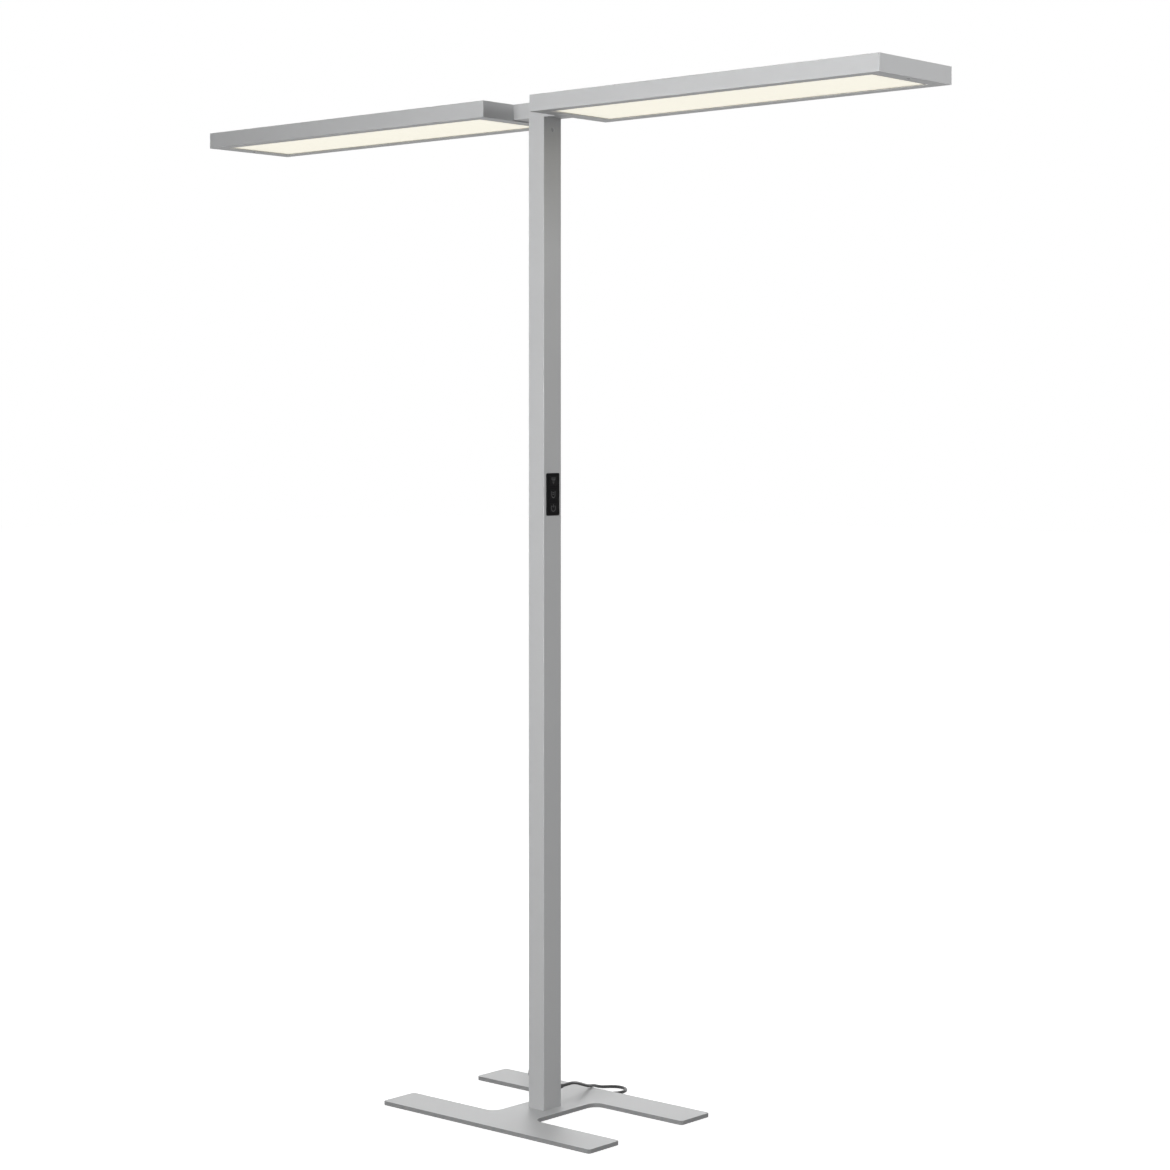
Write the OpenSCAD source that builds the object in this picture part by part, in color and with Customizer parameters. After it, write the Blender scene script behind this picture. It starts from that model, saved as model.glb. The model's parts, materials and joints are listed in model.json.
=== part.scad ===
// Office floor lamp with two flat luminous heads, a rectangular post and an H-shaped base.
// Millimetres. X runs along the heads, Y from the front of the lamp to its back, Z up from the floor.
// The origin lies on the floor, in the middle of the base.

/* [Overall] */
// Height from the floor to the top of the heads
overall_h = 1950; // [1700:10:2100]

/* [Heads] */
// Length of one head
head_len = 800; // [560:10:1000]
// Width of a head
head_w = 220; // [190:5:300]
// Thickness of a head
head_t = 32; // [31:0.5:40]
// Distance between the two heads
head_gap = 120; // [100:5:200]
// Wall of the head frame
frame_wall = 2.5; // [2:0.1:3]
// Thickness of the border that carries the panel
lip_t = 2.5; // [2:0.1:3]
// Width of the border along the long sides
lip_side = 25; // [23:1:30]
// Width of the border at the two ends
lip_end = 32; // [30:1:40]
// Thickness of the top cover
cover_t = 1.5; // [1:0.1:2]
// How far the panel reaches over the border
panel_overlap = 5; // [3:0.5:6]
// Thickness of the luminous diffuser
diffuser_t = 3; // [2:0.5:3]
// Thickness of the clear light guide
guide_t = 4; // [3:0.5:4]
// Thickness of the reflector sheet
reflector_t = 1; // [0.5:0.1:1]
// Thickness of the back plate
back_t = 1.5; // [1:0.1:2]
// Length of the driver
driver_len = 180; // [120:5:220]
// Width of the driver
driver_w = 42; // [30:1:60]
// Height of the driver
driver_h = 16; // [12:0.5:16]
// Diameter of the sensor lens in the border
sensor_d = 10; // [6:0.5:12]
// Distance between the light-emitting packages
led_pitch = 25; // [15:1:40]

/* [Post] */
// Size of the post along X
post_x = 40; // [38:1:60]
// Size of the post along Y
post_y = 50; // [46:1:70]
// Wall of the post
post_wall = 2.5; // [2:0.1:3]
// Radius of the post's corners
post_corner = 1.5; // [0.5:0.1:2]
// Height of the block in the foot of the post
foot_block_h = 20; // [16:1:20]
// Height of the block in the top of the post
top_block_h = 40; // [30:1:60]
// Diameter of the set screw near the top
set_screw_d = 8; // [5:0.5:10]

/* [Crossbar] */
// Width of the crossbar
bar_w = 50; // [49:1:60]
// Height of the crossbar
bar_h = 30; // [28:0.5:31]
// Wall of the crossbar
bar_wall = 2.5; // [2:0.1:3]
// Thickness of its lid
lid_t = 2; // [1.8:0.1:3]
// Width of the flat bar that carries the heads
carrier_w = 32; // [30:1:33]
// Thickness of the flat bar
carrier_t = 6; // [5:0.5:7]

/* [Base] */
// Length of the two foot bars
base_len = 535; // [440:5:640]
// Depth of the base over both foot bars
base_depth = 350; // [300:5:440]
// Width of a foot bar
foot_bar_w = 85; // [70:1:110]
// Width of the plate between the foot bars
web_w = 100; // [80:1:140]
// Thickness of the steel plate
plate_t = 8; // [7:0.5:12]
// Radius of the plate's outer corners
plate_corner = 6; // [2:1:12]
// Radius of the plate's inner corners
plate_fillet = 22; // [8:1:26]
// How far the glides lift the plate
glide_h = 2; // [1.5:0.1:3]
// Diameter of a glide
glide_d = 24; // [18:1:36]

/* [Controls] */
// Height of the middle of the control panel
control_z = 1194; // [900:1:1300]
// Width of the panel's border beside the keys
fascia_side = 7.5; // [7:0.5:11]
// Width of the panel's border above and below the keys
fascia_end = 6; // [6:0.5:14]
// How far the panel stands proud of the post
fascia_t = 1.2; // [0.8:0.1:2]
// Width of a key
key_w = 22; // [18:0.5:24]
// Height of a key
key_h = 18; // [14:0.5:19]
// Distance between the keys
key_pitch = 26; // [25:0.5:32]
// Travel of a key
key_travel = 1; // [0.6:0.1:1.2]
// Clearance round a key
key_gap = 0.3; // [0.2:0.05:0.5]

/* [Mains cord] */
// Diameter of the cord
cord_d = 6.2; // [5.8:0.1:6.4]
// Height of the cord's exit above the floor
cord_exit_z = 41; // [37:1:60]
// Length of the tapered strain relief
boot_len = 22; // [16:1:40]
// Length of the straight runs of the hank
hank_run = 115; // [95:5:120]
// Distance between neighbouring turns at the folds of the hank
hank_pitch = 7.1; // [7.1:0.1:7.6]
// Diameter of the plug's body
plug_d = 38; // [34:1:42]

/* [Hidden] */
$fn = 48;

eps = 0.01;           // lets a cut run past the face that it opens
screw_gap = 0.1;      // between a screw and its thread hole, on the radius
seat_gap = 0.1;       // between a piece and the pocket that it sits in
pass_gap = 0.3;       // between a screw's shank and the hole that it passes through, on the radius

// Levels
plate_z = glide_h;
plate_top = plate_z + plate_t;
head_z = overall_h - head_t;
bar_z = overall_h - bar_h;
bar_floor_top = bar_z + bar_wall;
carrier_top = bar_floor_top + carrier_t;

// Foot of the post: four M6 screws
foot_screw_d = 6;
foot_screw_head_d = 12;
foot_screw_head_h = 3.2;
foot_screw_x = 11;
foot_screw_y = 15;
foot_screw_reach = 14;     // depth of the screws in the block

// Top of the post: four M6 screws through the carrier and the crossbar
post_screw_d = 6;
post_screw_head_d = 11;
post_screw_head_h = 2.8;
post_screw_x = 11;
post_screw_y = 11;
post_screw_reach = 16;

// Wiring
supply_y = -6;             // the supply lead climbs the post here
supply_channel_d = 10;
supply_bend_r = 14;
control_y = 8;             // the lead of the controls climbs here
control_lead_d = 4;
control_channel_d = 6;
control_bend_r = 4;
control_lead_drop = 12;    // from the window's top down to where this lead enters the tray
head_lead_d = 5;
lead_over_carrier = 7.5;   // height of the head leads above the carrier
junction_x = 36;
junction_y = 30;
junction_mid_y = 5;
junction_h = 13;
junction_slots = 5;        // along each side
junction_slot_d = 4;

// Cord gland in the post's rear wall
gland_hole_d = 12;
gland_collar_d = 18;
gland_collar_t = 3;
gland_nut_d = 16;
gland_nut_t = 5;
gland_bore_d = cord_d + 2 * seat_gap;
boot_end_wall = 1;

// Set screw in the post's +X face
set_screw_z = bar_z - 23;
set_screw_len = 9.5;
set_screw_sunk = 0.5;      // below the post's face
set_screw_socket = 4;

// Controls, seen from the post's +X face
face_x = post_x / 2;
fascia_w = key_w + 2 * fascia_side;
fascia_h = 2 * key_pitch + key_h + 2 * fascia_end;
fascia_corner = 3;
fascia_cover = 3;                    // how far the fascia covers the post round the window
window_w = fascia_w - 2 * fascia_cover;
window_h = fascia_h - 2 * fascia_cover;
window_gap = 0.3;
inset_w = window_w - 2 * window_gap; // what sits in the window
inset_h = window_h - 2 * window_gap;
skirt_in = 2.4;                      // how far the fascia reaches into the window
flange_t = 1.2;
flange_extra = 1.2;
flange_gap = 0.2;
plunger_d = 5;
plunger_len = 2.6;
press_gap = 0.2;                     // left between the plunger and the switch when pressed
switch_body = 6;
switch_h = 3.4;
switch_tip_d = 3.4;
switch_tip_h = 0.4;
board_t = 1.6;
tray_wall = 1.2;
ledge_t = 0.6;                       // ledges that carry the board
ledge_w = 3;
skirt_x = face_x - skirt_in;
flange_x = skirt_x - flange_gap - flange_t;
plunger_x = flange_x - plunger_len;
switch_x = plunger_x - key_travel - press_gap - switch_tip_h - switch_h;
board_x = switch_x - board_t;
tray_x = board_x - ledge_t - tray_wall;
key_rows = [key_pitch, 0, -key_pitch];

// Heads, in a frame of their own: x from the inner end, z from the underside
frame_h = head_t - cover_t;
panel_x0 = lip_end - panel_overlap;
panel_len = head_len - 2 * panel_x0;
panel_half = head_w / 2 - lip_side + panel_overlap;
guide_z = lip_t + diffuser_t;
reflector_z = guide_z + guide_t;
back_z = reflector_z + reflector_t;
driver_z = back_z + back_t;
head_corner = 1;
rail_t = 3;
led_board_t = 1.6;
led_board_gap = 0.5;       // below and above the light-emitting boards
led_board_end_gap = 2;
led_depth = 1.9;
led_gap = 0.4;
led_w = 3;
rail_y = panel_half + led_gap + led_depth + led_board_t;
boss = 8;
boss_y = head_w / 2 - frame_wall - boss / 2;
boss_x = frame_wall + boss / 2;
cover_screw_d = 3;
cover_screw_head_d = 5.6;
cover_screw_head_h = 1;
cover_screw_reach = 8;     // into the boss
cover_pilot = 10;          // depth of the hole in the boss
mount_w = 60;
mount_room = 1.4;          // between its screws' heads and the top cover
mount_panel_gap = 1;
mount_end_wall = 2.5;
mount_screw_d = 5;
mount_screw_head_d = 9;
mount_screw_head_h = 2.6;
mount_socket = 3;
mount_socket_h = 1.6;
mount_screw_y = 10;
mount_x1 = panel_x0 - mount_panel_gap;
mount_h = frame_h - lip_t - mount_screw_head_h - mount_room;
mount_screw_x = (frame_wall + mount_x1) / 2;
carrier_reach = mount_x1 - mount_end_wall;    // into the head
carrier_z = bar_floor_top - head_z;
lead_z = carrier_z + carrier_t + lead_over_carrier;
driver_x = 110;
driver_tab = 8;
driver_tab_t = 2;
driver_tab_hole_d = 3.4;
sensor_x = head_len - lip_end / 2;
sensor_flange_d = sensor_d + 6;
sensor_flange_t = 1.5;
sensor_body_d = sensor_d + 2;
sensor_body_h = 11;
sensor_proud = 1;
sensor_arc = 50;           // half the angle of the lens's dome
vent_count = 11;
vent_len = 60;
vent_w = 3;
vent_pitch = 9;

// Crossbar
lid_z = overall_h - lid_t;
lid_boss_gap = 0.5;
lid_boss = (bar_w - carrier_w) / 2 - bar_wall - lid_boss_gap;
lid_boss_y = bar_w / 2 - bar_wall - lid_boss / 2;
lid_boss_x = head_gap / 2 - 12;
lid_screw_d = 3;
lid_screw_head_d = 5.6;
lid_screw_head_h = 1.3;
lid_screw_len = 10;
lid_pilot = 11;

// Base
glide_stem_d = 8;
glide_stem_h = 5;
glide_inset = 32;
foot_bar_y = base_depth / 2 - foot_bar_w / 2;

// Cord. The route's points were chosen by hand: out of the strain relief, over the rear foot bar, down to the
// floor, round in one turn against the bar's rear edge, along it, and back to the hank.
cord_sides = 8;
cord_steps = 2;
cord_route = [
    [0, 50, 41], [0, 58, 41], [-0.4, 68, 41.2], [-2, 80, 40.5], [-5, 93, 38], [-9, 106, 34.4],
    [-14, 120, 29.8], [-19.3, 134, 24.8], [-24.4, 148, 19.8], [-28.8, 162, 15.8], [-32, 174, 13.4],
    [-33.6, 184, 11.2], [-33.9, 194.5, 7.8], [-32.7, 205.2, 5], [-29.5, 215.6, 3.7], [-23.8, 224.4, 3.2],
    [-15.2, 230.4, 3.2], [-5, 232.5, 3.2], [5.2, 230.5, 3.2], [13.8, 224.7, 3.2], [19.5, 216, 3.2],
    [21.5, 205.8, 3.2], [19.4, 195.7, 3.2], [13.5, 187.2, 3.2], [4.8, 181.8, 3.2], [-5.6, 179.5, 3.2],
    [-16.5, 179, 3.2], [-34, 179, 3.2], [-58, 179, 3.2], [-82, 179, 3.2], [-108, 179, 3.2], [-122, 181, 3.4],
    [-133, 186.5, 3.8], [-142.5, 194.5, 4.3], [-150.6, 203, 4.6], [-160, 213.8, 4.7], [-170.5, 225.8, 4.7],
    [-177.5, 233.8, 4.7], [-183, 240, 4.7]
];
// The tail's points: how far along from the hank's end, to its side and up
tail_points = [
    [0, 0, 0], [6, 0, 0], [14, 1.2, 0.4], [24, 5.3, 2], [34, 9.4, 3.7], [42, 10.6, 4.1], [48, 10.6, 4.1]
];
hank_start = cord_route[len(cord_route) - 1];
hank_heading = atan(22 / 25);    // turned from +Y towards -X
hank_fold_r = 3 * cord_d;
hank_layer = cord_d + 0.6;
hank_waist = 0.06;
hank_sides = 6;
run_rings = 4;                   // rings on a straight run
fold_rings = 8;                  // rings on a fold
loop_rings = 2 * (run_rings + fold_rings);
// The winding goes in for the first layer, out, in and out again, and turns back at mid-run.
hank_turns = [26, 36, 36, 14];
hank_rings = hank_turns[0] + hank_turns[1] + hank_turns[2] + hank_turns[3];
plug_boot_len = 26;
plug_boot_d = 9;
plug_neck_d = 20;
plug_edge = 4;                   // length of the body's conical shoulder
plug_body_len = 28;
plug_pin_d = 4.8;
plug_pin_len = 19;
plug_pin_tip = 1.5;
plug_pin_half = 9.5;
tie_w = 14;
tie_t = 1.2;
tie_gap = 0.3;
tie_corner = 4;

// ---------- shared shapes ----------

module rounded(x, y, r) {
    square([x - 2 * r, y], center = true);
    square([x, y - 2 * r], center = true);
    for (sx = [-1, 1], sy = [-1, 1])
        translate([sx * (x / 2 - r), sy * (y / 2 - r)]) circle(r);
}

// Countersunk screw whose head's face lies at z = 0 and whose shank points down
module countersunk(d, len, head_d, head_h) {
    translate([0, 0, -head_h]) cylinder(d1 = d, d2 = head_d, h = head_h);
    translate([0, 0, -len]) cylinder(d = d, h = len - head_h / 2);
}

// The hole for such a screw, through a plate of the given thickness
module countersunk_hole(d, thick, head_d, head_h) {
    translate([0, 0, -head_h]) cylinder(d1 = d, d2 = head_d + 2 * screw_gap, h = head_h + eps);
    translate([0, 0, -thick - eps]) cylinder(d = d + 2 * pass_gap, h = thick + 2 * eps);
}

module at_foot_screws() {
    for (sx = [-1, 1], sy = [-1, 1]) translate([sx * foot_screw_x, sy * foot_screw_y, 0]) children();
}

module at_post_screws() {
    for (sx = [-1, 1], sy = [-1, 1]) translate([sx * post_screw_x, sy * post_screw_y, 0]) children();
}

// ---------- base ----------

module fillet_corner(r) {
    difference() {
        translate([-eps, -eps]) square(r + eps);
        translate([r, r]) circle(r);
    }
}

module base_outline() {
    inner_y = base_depth / 2 - foot_bar_w;
    for (s = [-1, 1]) translate([0, s * foot_bar_y]) rounded(base_len, foot_bar_w, plate_corner);
    square([web_w, 2 * inner_y + 2 * plate_corner], center = true);
    for (mx = [0, 1], my = [0, 1])
        mirror([mx, 0]) mirror([0, my])
            translate([web_w / 2, inner_y]) mirror([0, 1]) fillet_corner(plate_fillet);
}

module at_glides() {
    for (sx = [-1, 0, 1], sy = [-1, 1])
        translate([sx * (base_len / 2 - glide_inset), sy * foot_bar_y, 0]) children();
}

module base_plate() {
    color("gainsboro") difference() {
        translate([0, 0, plate_z]) linear_extrude(plate_t) base_outline();
        at_glides() translate([0, 0, plate_z - eps])
            cylinder(d = glide_stem_d + 2 * seat_gap, h = glide_stem_h + seat_gap + eps);
        at_foot_screws() translate([0, 0, plate_z]) mirror([0, 0, 1])
            countersunk_hole(foot_screw_d, plate_t, foot_screw_head_d, foot_screw_head_h);
    }
}

module base_glides() {
    color("dimgray") at_glides() {
        cylinder(d = glide_d, h = glide_h);
        cylinder(d = glide_stem_d, h = glide_h + glide_stem_h);
    }
}

module foot_screws() {
    color("silver") at_foot_screws() translate([0, 0, plate_z]) mirror([0, 0, 1])
        countersunk(foot_screw_d, plate_t + foot_screw_reach, foot_screw_head_d, foot_screw_head_h);
}

// ---------- post ----------

module post_bore_outline() {
    square([post_x - 2 * post_wall, post_y - 2 * post_wall], center = true);
}

module block_outline() {
    square([post_x - 2 * post_wall - 2 * seat_gap, post_y - 2 * post_wall - 2 * seat_gap], center = true);
}

module foot_block() {
    color("darkgray") translate([0, 0, plate_top]) difference() {
        linear_extrude(foot_block_h) block_outline();
        at_foot_screws() translate([0, 0, -eps])
            cylinder(d = foot_screw_d + 2 * screw_gap, h = foot_block_h + 2 * eps);
    }
}

module post() {
    color("gainsboro") difference() {
        translate([0, 0, plate_top]) linear_extrude(bar_z - plate_top) difference() {
            rounded(post_x, post_y, post_corner);
            post_bore_outline();
        }
        translate([face_x - post_wall - 1, -window_w / 2, control_z - window_h / 2])
            cube([post_wall + 2, window_w, window_h]);
        translate([0, post_y / 2 + 1, cord_exit_z]) rotate([90, 0, 0])
            cylinder(d = gland_hole_d, h = post_wall + 2);
        translate([face_x - post_wall - 1, 0, set_screw_z]) rotate([0, 90, 0])
            cylinder(d = set_screw_d + 2 * pass_gap, h = post_wall + 2);
    }
}

// The channels of the supply lead and of the lead of the controls, through a piece of the given height
module wiring_channels(z, h) {
    translate([0, supply_y, z - eps]) cylinder(d = supply_channel_d, h = h + 2 * eps);
    translate([0, control_y, z - eps]) cylinder(d = control_channel_d, h = h + 2 * eps);
}

module top_block() {
    bore = post_screw_reach + 2;
    color("darkgray") difference() {
        translate([0, 0, bar_z - top_block_h]) linear_extrude(top_block_h) block_outline();
        at_post_screws() translate([0, 0, bar_z - bore])
            cylinder(d = post_screw_d + 2 * screw_gap, h = bore + eps);
        wiring_channels(bar_z - top_block_h, top_block_h);
        translate([face_x - set_screw_sunk - set_screw_len - seat_gap, 0, set_screw_z]) rotate([0, 90, 0])
            cylinder(d = set_screw_d + 2 * screw_gap, h = set_screw_len);
    }
}

// A socket-headed set screw that stops just under the face of the post
module post_set_screw() {
    color("dimgray") translate([face_x - set_screw_sunk, 0, set_screw_z]) rotate([0, -90, 0]) difference() {
        cylinder(d = set_screw_d, h = set_screw_len);
        translate([0, 0, -eps]) cylinder(d = set_screw_socket, h = set_screw_len / 2, $fn = 6);
    }
}

// ---------- crossbar ----------

module at_lid_screws() {
    for (s = [-1, 1]) translate([s * lid_boss_x, s * lid_boss_y, 0]) children();
}

module crossbar() {
    color("gainsboro") difference() {
        union() {
            difference() {
                translate([-head_gap / 2, -bar_w / 2, bar_z]) cube([head_gap, bar_w, bar_h - lid_t]);
                translate([-head_gap / 2 - 1, -bar_w / 2 + bar_wall, bar_floor_top])
                    cube([head_gap + 2, bar_w - 2 * bar_wall, bar_h]);
            }
            at_lid_screws() translate([-lid_boss / 2, -lid_boss / 2, bar_floor_top - eps])
                cube([lid_boss, lid_boss, lid_z - bar_floor_top + eps]);
        }
        at_lid_screws() translate([0, 0, lid_z - lid_pilot])
            cylinder(d = lid_screw_d + 2 * screw_gap, h = lid_pilot + eps);
        at_post_screws() translate([0, 0, bar_z - eps])
            cylinder(d = post_screw_d + 2 * pass_gap, h = bar_wall + 2 * eps);
        wiring_channels(bar_z, bar_wall);
    }
}

module crossbar_lid() {
    color("gainsboro") difference() {
        translate([-head_gap / 2, -bar_w / 2, lid_z]) cube([head_gap, bar_w, lid_t]);
        at_lid_screws() translate([0, 0, overall_h])
            countersunk_hole(lid_screw_d, lid_t, lid_screw_head_d, lid_screw_head_h);
    }
}

module lid_screws() {
    color("silver") at_lid_screws() translate([0, 0, overall_h])
        countersunk(lid_screw_d, lid_screw_len, lid_screw_head_d, lid_screw_head_h);
}

carrier_half = head_gap / 2 + carrier_reach;
carrier_screw_x = head_gap / 2 + mount_screw_x;

module at_head_screws() {
    for (sx = [-1, 1], sy = [-1, 1]) translate([sx * carrier_screw_x, sy * mount_screw_y, 0]) children();
}

module head_carrier() {
    color("darkgray") difference() {
        translate([-carrier_half, -carrier_w / 2, bar_floor_top]) cube([2 * carrier_half, carrier_w, carrier_t]);
        at_post_screws() translate([0, 0, carrier_top])
            countersunk_hole(post_screw_d, carrier_t, post_screw_head_d, post_screw_head_h);
        wiring_channels(bar_floor_top, carrier_t);
        at_head_screws() translate([0, 0, bar_floor_top - eps])
            cylinder(d = mount_screw_d + 2 * screw_gap, h = carrier_t + 2 * eps);
    }
}

module carrier_post_screws() {
    color("silver") at_post_screws() translate([0, 0, carrier_top])
        countersunk(post_screw_d, carrier_t + bar_wall + post_screw_reach, post_screw_head_d, post_screw_head_h);
}

module carrier_head_screws() {
    top = head_z + lip_t + mount_h;
    tip = bar_floor_top + screw_gap;
    color("silver") at_head_screws() {
        difference() {
            translate([0, 0, top]) cylinder(d = mount_screw_head_d, h = mount_screw_head_h);
            translate([0, 0, top + mount_screw_head_h - mount_socket_h])
                cylinder(d = mount_socket, h = mount_socket_h + eps, $fn = 6);
        }
        translate([0, 0, tip]) cylinder(d = mount_screw_d, h = top - tip + eps);
    }
}

module junction_block() {
    pitch = junction_x / junction_slots;
    color("whitesmoke") difference() {
        translate([-junction_x / 2, junction_mid_y - junction_y / 2, carrier_top])
            cube([junction_x, junction_y, junction_h]);
        for (i = [0:junction_slots - 1], sy = [-1, 1])
            translate([
                (i - (junction_slots - 1) / 2) * pitch,
                junction_mid_y + sy * junction_y / 4,
                carrier_top + junction_h / 2
            ]) cylinder(d = junction_slot_d, h = junction_h);
    }
}

// ---------- wiring ----------

// From the end of the strain relief through the gland, round one bend and up the post to the junction block
module supply_lead() {
    bend_y = supply_y + supply_bend_r;
    boot_end = post_y / 2 + gland_collar_t + boot_len;
    color("black") {
        translate([0, boot_end, cord_exit_z]) rotate([90, 0, 0]) cylinder(d = cord_d, h = boot_end - bend_y);
        translate([0, bend_y, cord_exit_z + supply_bend_r]) rotate([0, -90, 0]) rotate(180)
            rotate_extrude(angle = 90) translate([supply_bend_r, 0]) circle(d = cord_d);
        translate([0, supply_y, cord_exit_z + supply_bend_r])
            cylinder(d = cord_d, h = carrier_top - cord_exit_z - supply_bend_r);
    }
}

// From the back of the control tray into the post and up to the junction block
module control_lead() {
    r = control_bend_r;
    z = control_z + window_h / 2 - control_lead_drop;
    color("black") {
        translate([r, control_y, z]) rotate([0, 90, 0]) cylinder(d = control_lead_d, h = tray_x - r);
        translate([r, control_y, z + r]) rotate([90, 0, 0]) rotate(180)
            rotate_extrude(angle = 90) translate([r, 0]) circle(d = control_lead_d);
        translate([0, control_y, z + r]) cylinder(d = control_lead_d, h = carrier_top - z - r);
    }
}

// Bush through the post's rear wall with an inner nut, an outer collar and the tapered strain relief
module cord_gland() {
    nut_back = post_wall + gland_nut_t;
    color("black") translate([0, post_y / 2, cord_exit_z]) rotate([-90, 0, 0]) difference() {
        union() {
            translate([0, 0, -nut_back]) cylinder(d = gland_nut_d, h = gland_nut_t, $fn = 6);
            translate([0, 0, -post_wall - eps]) cylinder(d = gland_hole_d - 2 * seat_gap, h = post_wall + 2 * eps);
            cylinder(d = gland_collar_d, h = gland_collar_t);
            translate([0, 0, gland_collar_t - eps])
                cylinder(d1 = gland_hole_d, d2 = gland_bore_d + 2 * boot_end_wall, h = boot_len + eps);
        }
        translate([0, 0, -nut_back - 1])
            cylinder(d = gland_bore_d, h = nut_back + gland_collar_t + boot_len + 2);
    }
}

// ---------- controls ----------

// A block centred in the window, from one X to another
module window_block(x0, x1, w, h) {
    translate([x0, -w / 2, control_z - h / 2]) cube([x1 - x0, w, h]);
}

module control_fascia() {
    color([0.13, 0.13, 0.14]) difference() {
        union() {
            translate([face_x, 0, control_z]) rotate([0, 90, 0])
                linear_extrude(fascia_t) rounded(fascia_h, fascia_w, fascia_corner);
            window_block(skirt_x, face_x + eps, inset_w, inset_h);
        }
        for (dz = key_rows) translate([0, 0, dz])
            window_block(skirt_x - 1, face_x + fascia_t + 1, key_w + 2 * key_gap, key_h + 2 * key_gap);
    }
}

module control_tray() {
    floor_x = tray_x + tray_wall;
    color("dimgray") {
        difference() {
            window_block(tray_x, skirt_x, inset_w, inset_h);
            window_block(floor_x, skirt_x + 1, inset_w - 2 * tray_wall, inset_h - 2 * tray_wall);
        }
        for (s = [-1, 1]) translate([0, 0, s * (inset_h / 2 - tray_wall - ledge_w / 2)])
            window_block(floor_x - eps, board_x, inset_w - 2 * tray_wall, ledge_w);
    }
}

module control_board() {
    edge = tray_wall + seat_gap;
    color("darkgreen") window_block(board_x, board_x + board_t, inset_w - 2 * edge, inset_h - 2 * edge);
}

module key_switches() {
    color("black") for (dz = key_rows) translate([switch_x, 0, control_z + dz]) {
        translate([0, -switch_body / 2, -switch_body / 2]) cube([switch_h, switch_body, switch_body]);
        rotate([0, 90, 0]) cylinder(d = switch_tip_d, h = switch_h + switch_tip_h);
    }
}

// A key: cap through the fascia, flange behind it and a plunger towards its switch
module key(dz) {
    front = face_x + fascia_t + key_travel;
    fw = key_w + 2 * flange_extra;
    fh = key_h + 2 * flange_extra;
    translate([0, 0, control_z + dz]) {
        translate([flange_x, -key_w / 2, -key_h / 2]) cube([front - flange_x, key_w, key_h]);
        translate([flange_x, -fw / 2, -fh / 2]) cube([flange_t, fw, fh]);
        translate([plunger_x, 0, 0]) rotate([0, 90, 0]) cylinder(d = plunger_d, h = plunger_len + eps);
    }
}

module key_up() {
    color([0.2, 0.2, 0.21]) key(key_rows[0]);
}

module key_down() {
    color([0.2, 0.2, 0.21]) key(key_rows[1]);
}

module key_power() {
    color([0.2, 0.2, 0.21]) key(key_rows[2]);
}

// ---------- heads ----------

// Places what is drawn in a head's own frame at the right head, or mirrored at the left one
module at_head(side) {
    mirror([side == "left" ? 1 : 0, 0, 0]) translate([head_gap / 2, 0, head_z]) children();
}

module at_bosses() {
    for (x = [boss_x, head_len / 2, head_len - boss_x], sy = [-1, 1]) translate([x, sy * boss_y, 0]) children();
}

module head_frame() {
    color("gainsboro") difference() {
        union() {
            difference() {
                translate([head_len / 2, 0, 0]) linear_extrude(frame_h) rounded(head_len, head_w, head_corner);
                translate([frame_wall, -head_w / 2 + frame_wall, lip_t])
                    cube([head_len - 2 * frame_wall, head_w - 2 * frame_wall, frame_h]);
            }
            at_bosses() translate([-boss / 2, -boss / 2, lip_t - eps]) cube([boss, boss, frame_h - lip_t + eps]);
            for (sy = [-1, 1]) translate([panel_x0, sy * (rail_y + rail_t / 2) - rail_t / 2, lip_t - eps])
                cube([panel_len, rail_t, back_z - lip_t + eps]);
        }
        translate([lip_end, -head_w / 2 + lip_side, -1])
            cube([head_len - 2 * lip_end, head_w - 2 * lip_side, lip_t + 2]);
        translate([-1, -carrier_w / 2 - seat_gap, carrier_z - seat_gap])
            cube([frame_wall + 2, carrier_w + 2 * seat_gap, carrier_t + 2 * seat_gap]);
        translate([-1, 0, lead_z]) rotate([0, 90, 0]) cylinder(d = head_lead_d + 2 * pass_gap, h = frame_wall + 2);
        translate([sensor_x, 0, -1]) cylinder(d = sensor_d + 2 * seat_gap, h = lip_t + 2);
        at_bosses() translate([0, 0, frame_h - cover_pilot])
            cylinder(d = cover_screw_d + 2 * screw_gap, h = cover_pilot + eps);
    }
}

// A slot with round ends
module vent_outline() {
    square([vent_w, vent_len - vent_w], center = true);
    for (s = [-1, 1]) translate([0, s * (vent_len - vent_w) / 2]) circle(d = vent_w);
}

module head_top_cover() {
    color("gainsboro") difference() {
        translate([head_len / 2, 0, frame_h]) linear_extrude(cover_t) rounded(head_len, head_w, head_corner);
        at_bosses() translate([0, 0, head_t])
            countersunk_hole(cover_screw_d, cover_t, cover_screw_head_d, cover_screw_head_h);
        for (i = [0:vent_count - 1])
            translate([driver_x + driver_len / 2 + (i - (vent_count - 1) / 2) * vent_pitch, 0, frame_h - 1])
                linear_extrude(cover_t + 2) vent_outline();
    }
}

module head_cover_screws() {
    color("silver") at_bosses() translate([0, 0, head_t])
        countersunk(cover_screw_d, cover_t + cover_screw_reach, cover_screw_head_d, cover_screw_head_h);
}

module head_back_plate() {
    color("silver") translate([panel_x0, -rail_y - rail_t, back_z])
        cube([panel_len, 2 * (rail_y + rail_t), back_t]);
}

module head_sheet(z, t) {
    translate([panel_x0, -panel_half, z]) cube([panel_len, 2 * panel_half, t]);
}

module head_reflector() {
    color("white") head_sheet(reflector_z, reflector_t);
}

module head_light_guide() {
    color([0.85, 0.93, 0.95]) head_sheet(guide_z, guide_t);
}

module head_diffuser() {
    color([0.97, 0.96, 0.9]) head_sheet(lip_t, diffuser_t);
}

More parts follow.
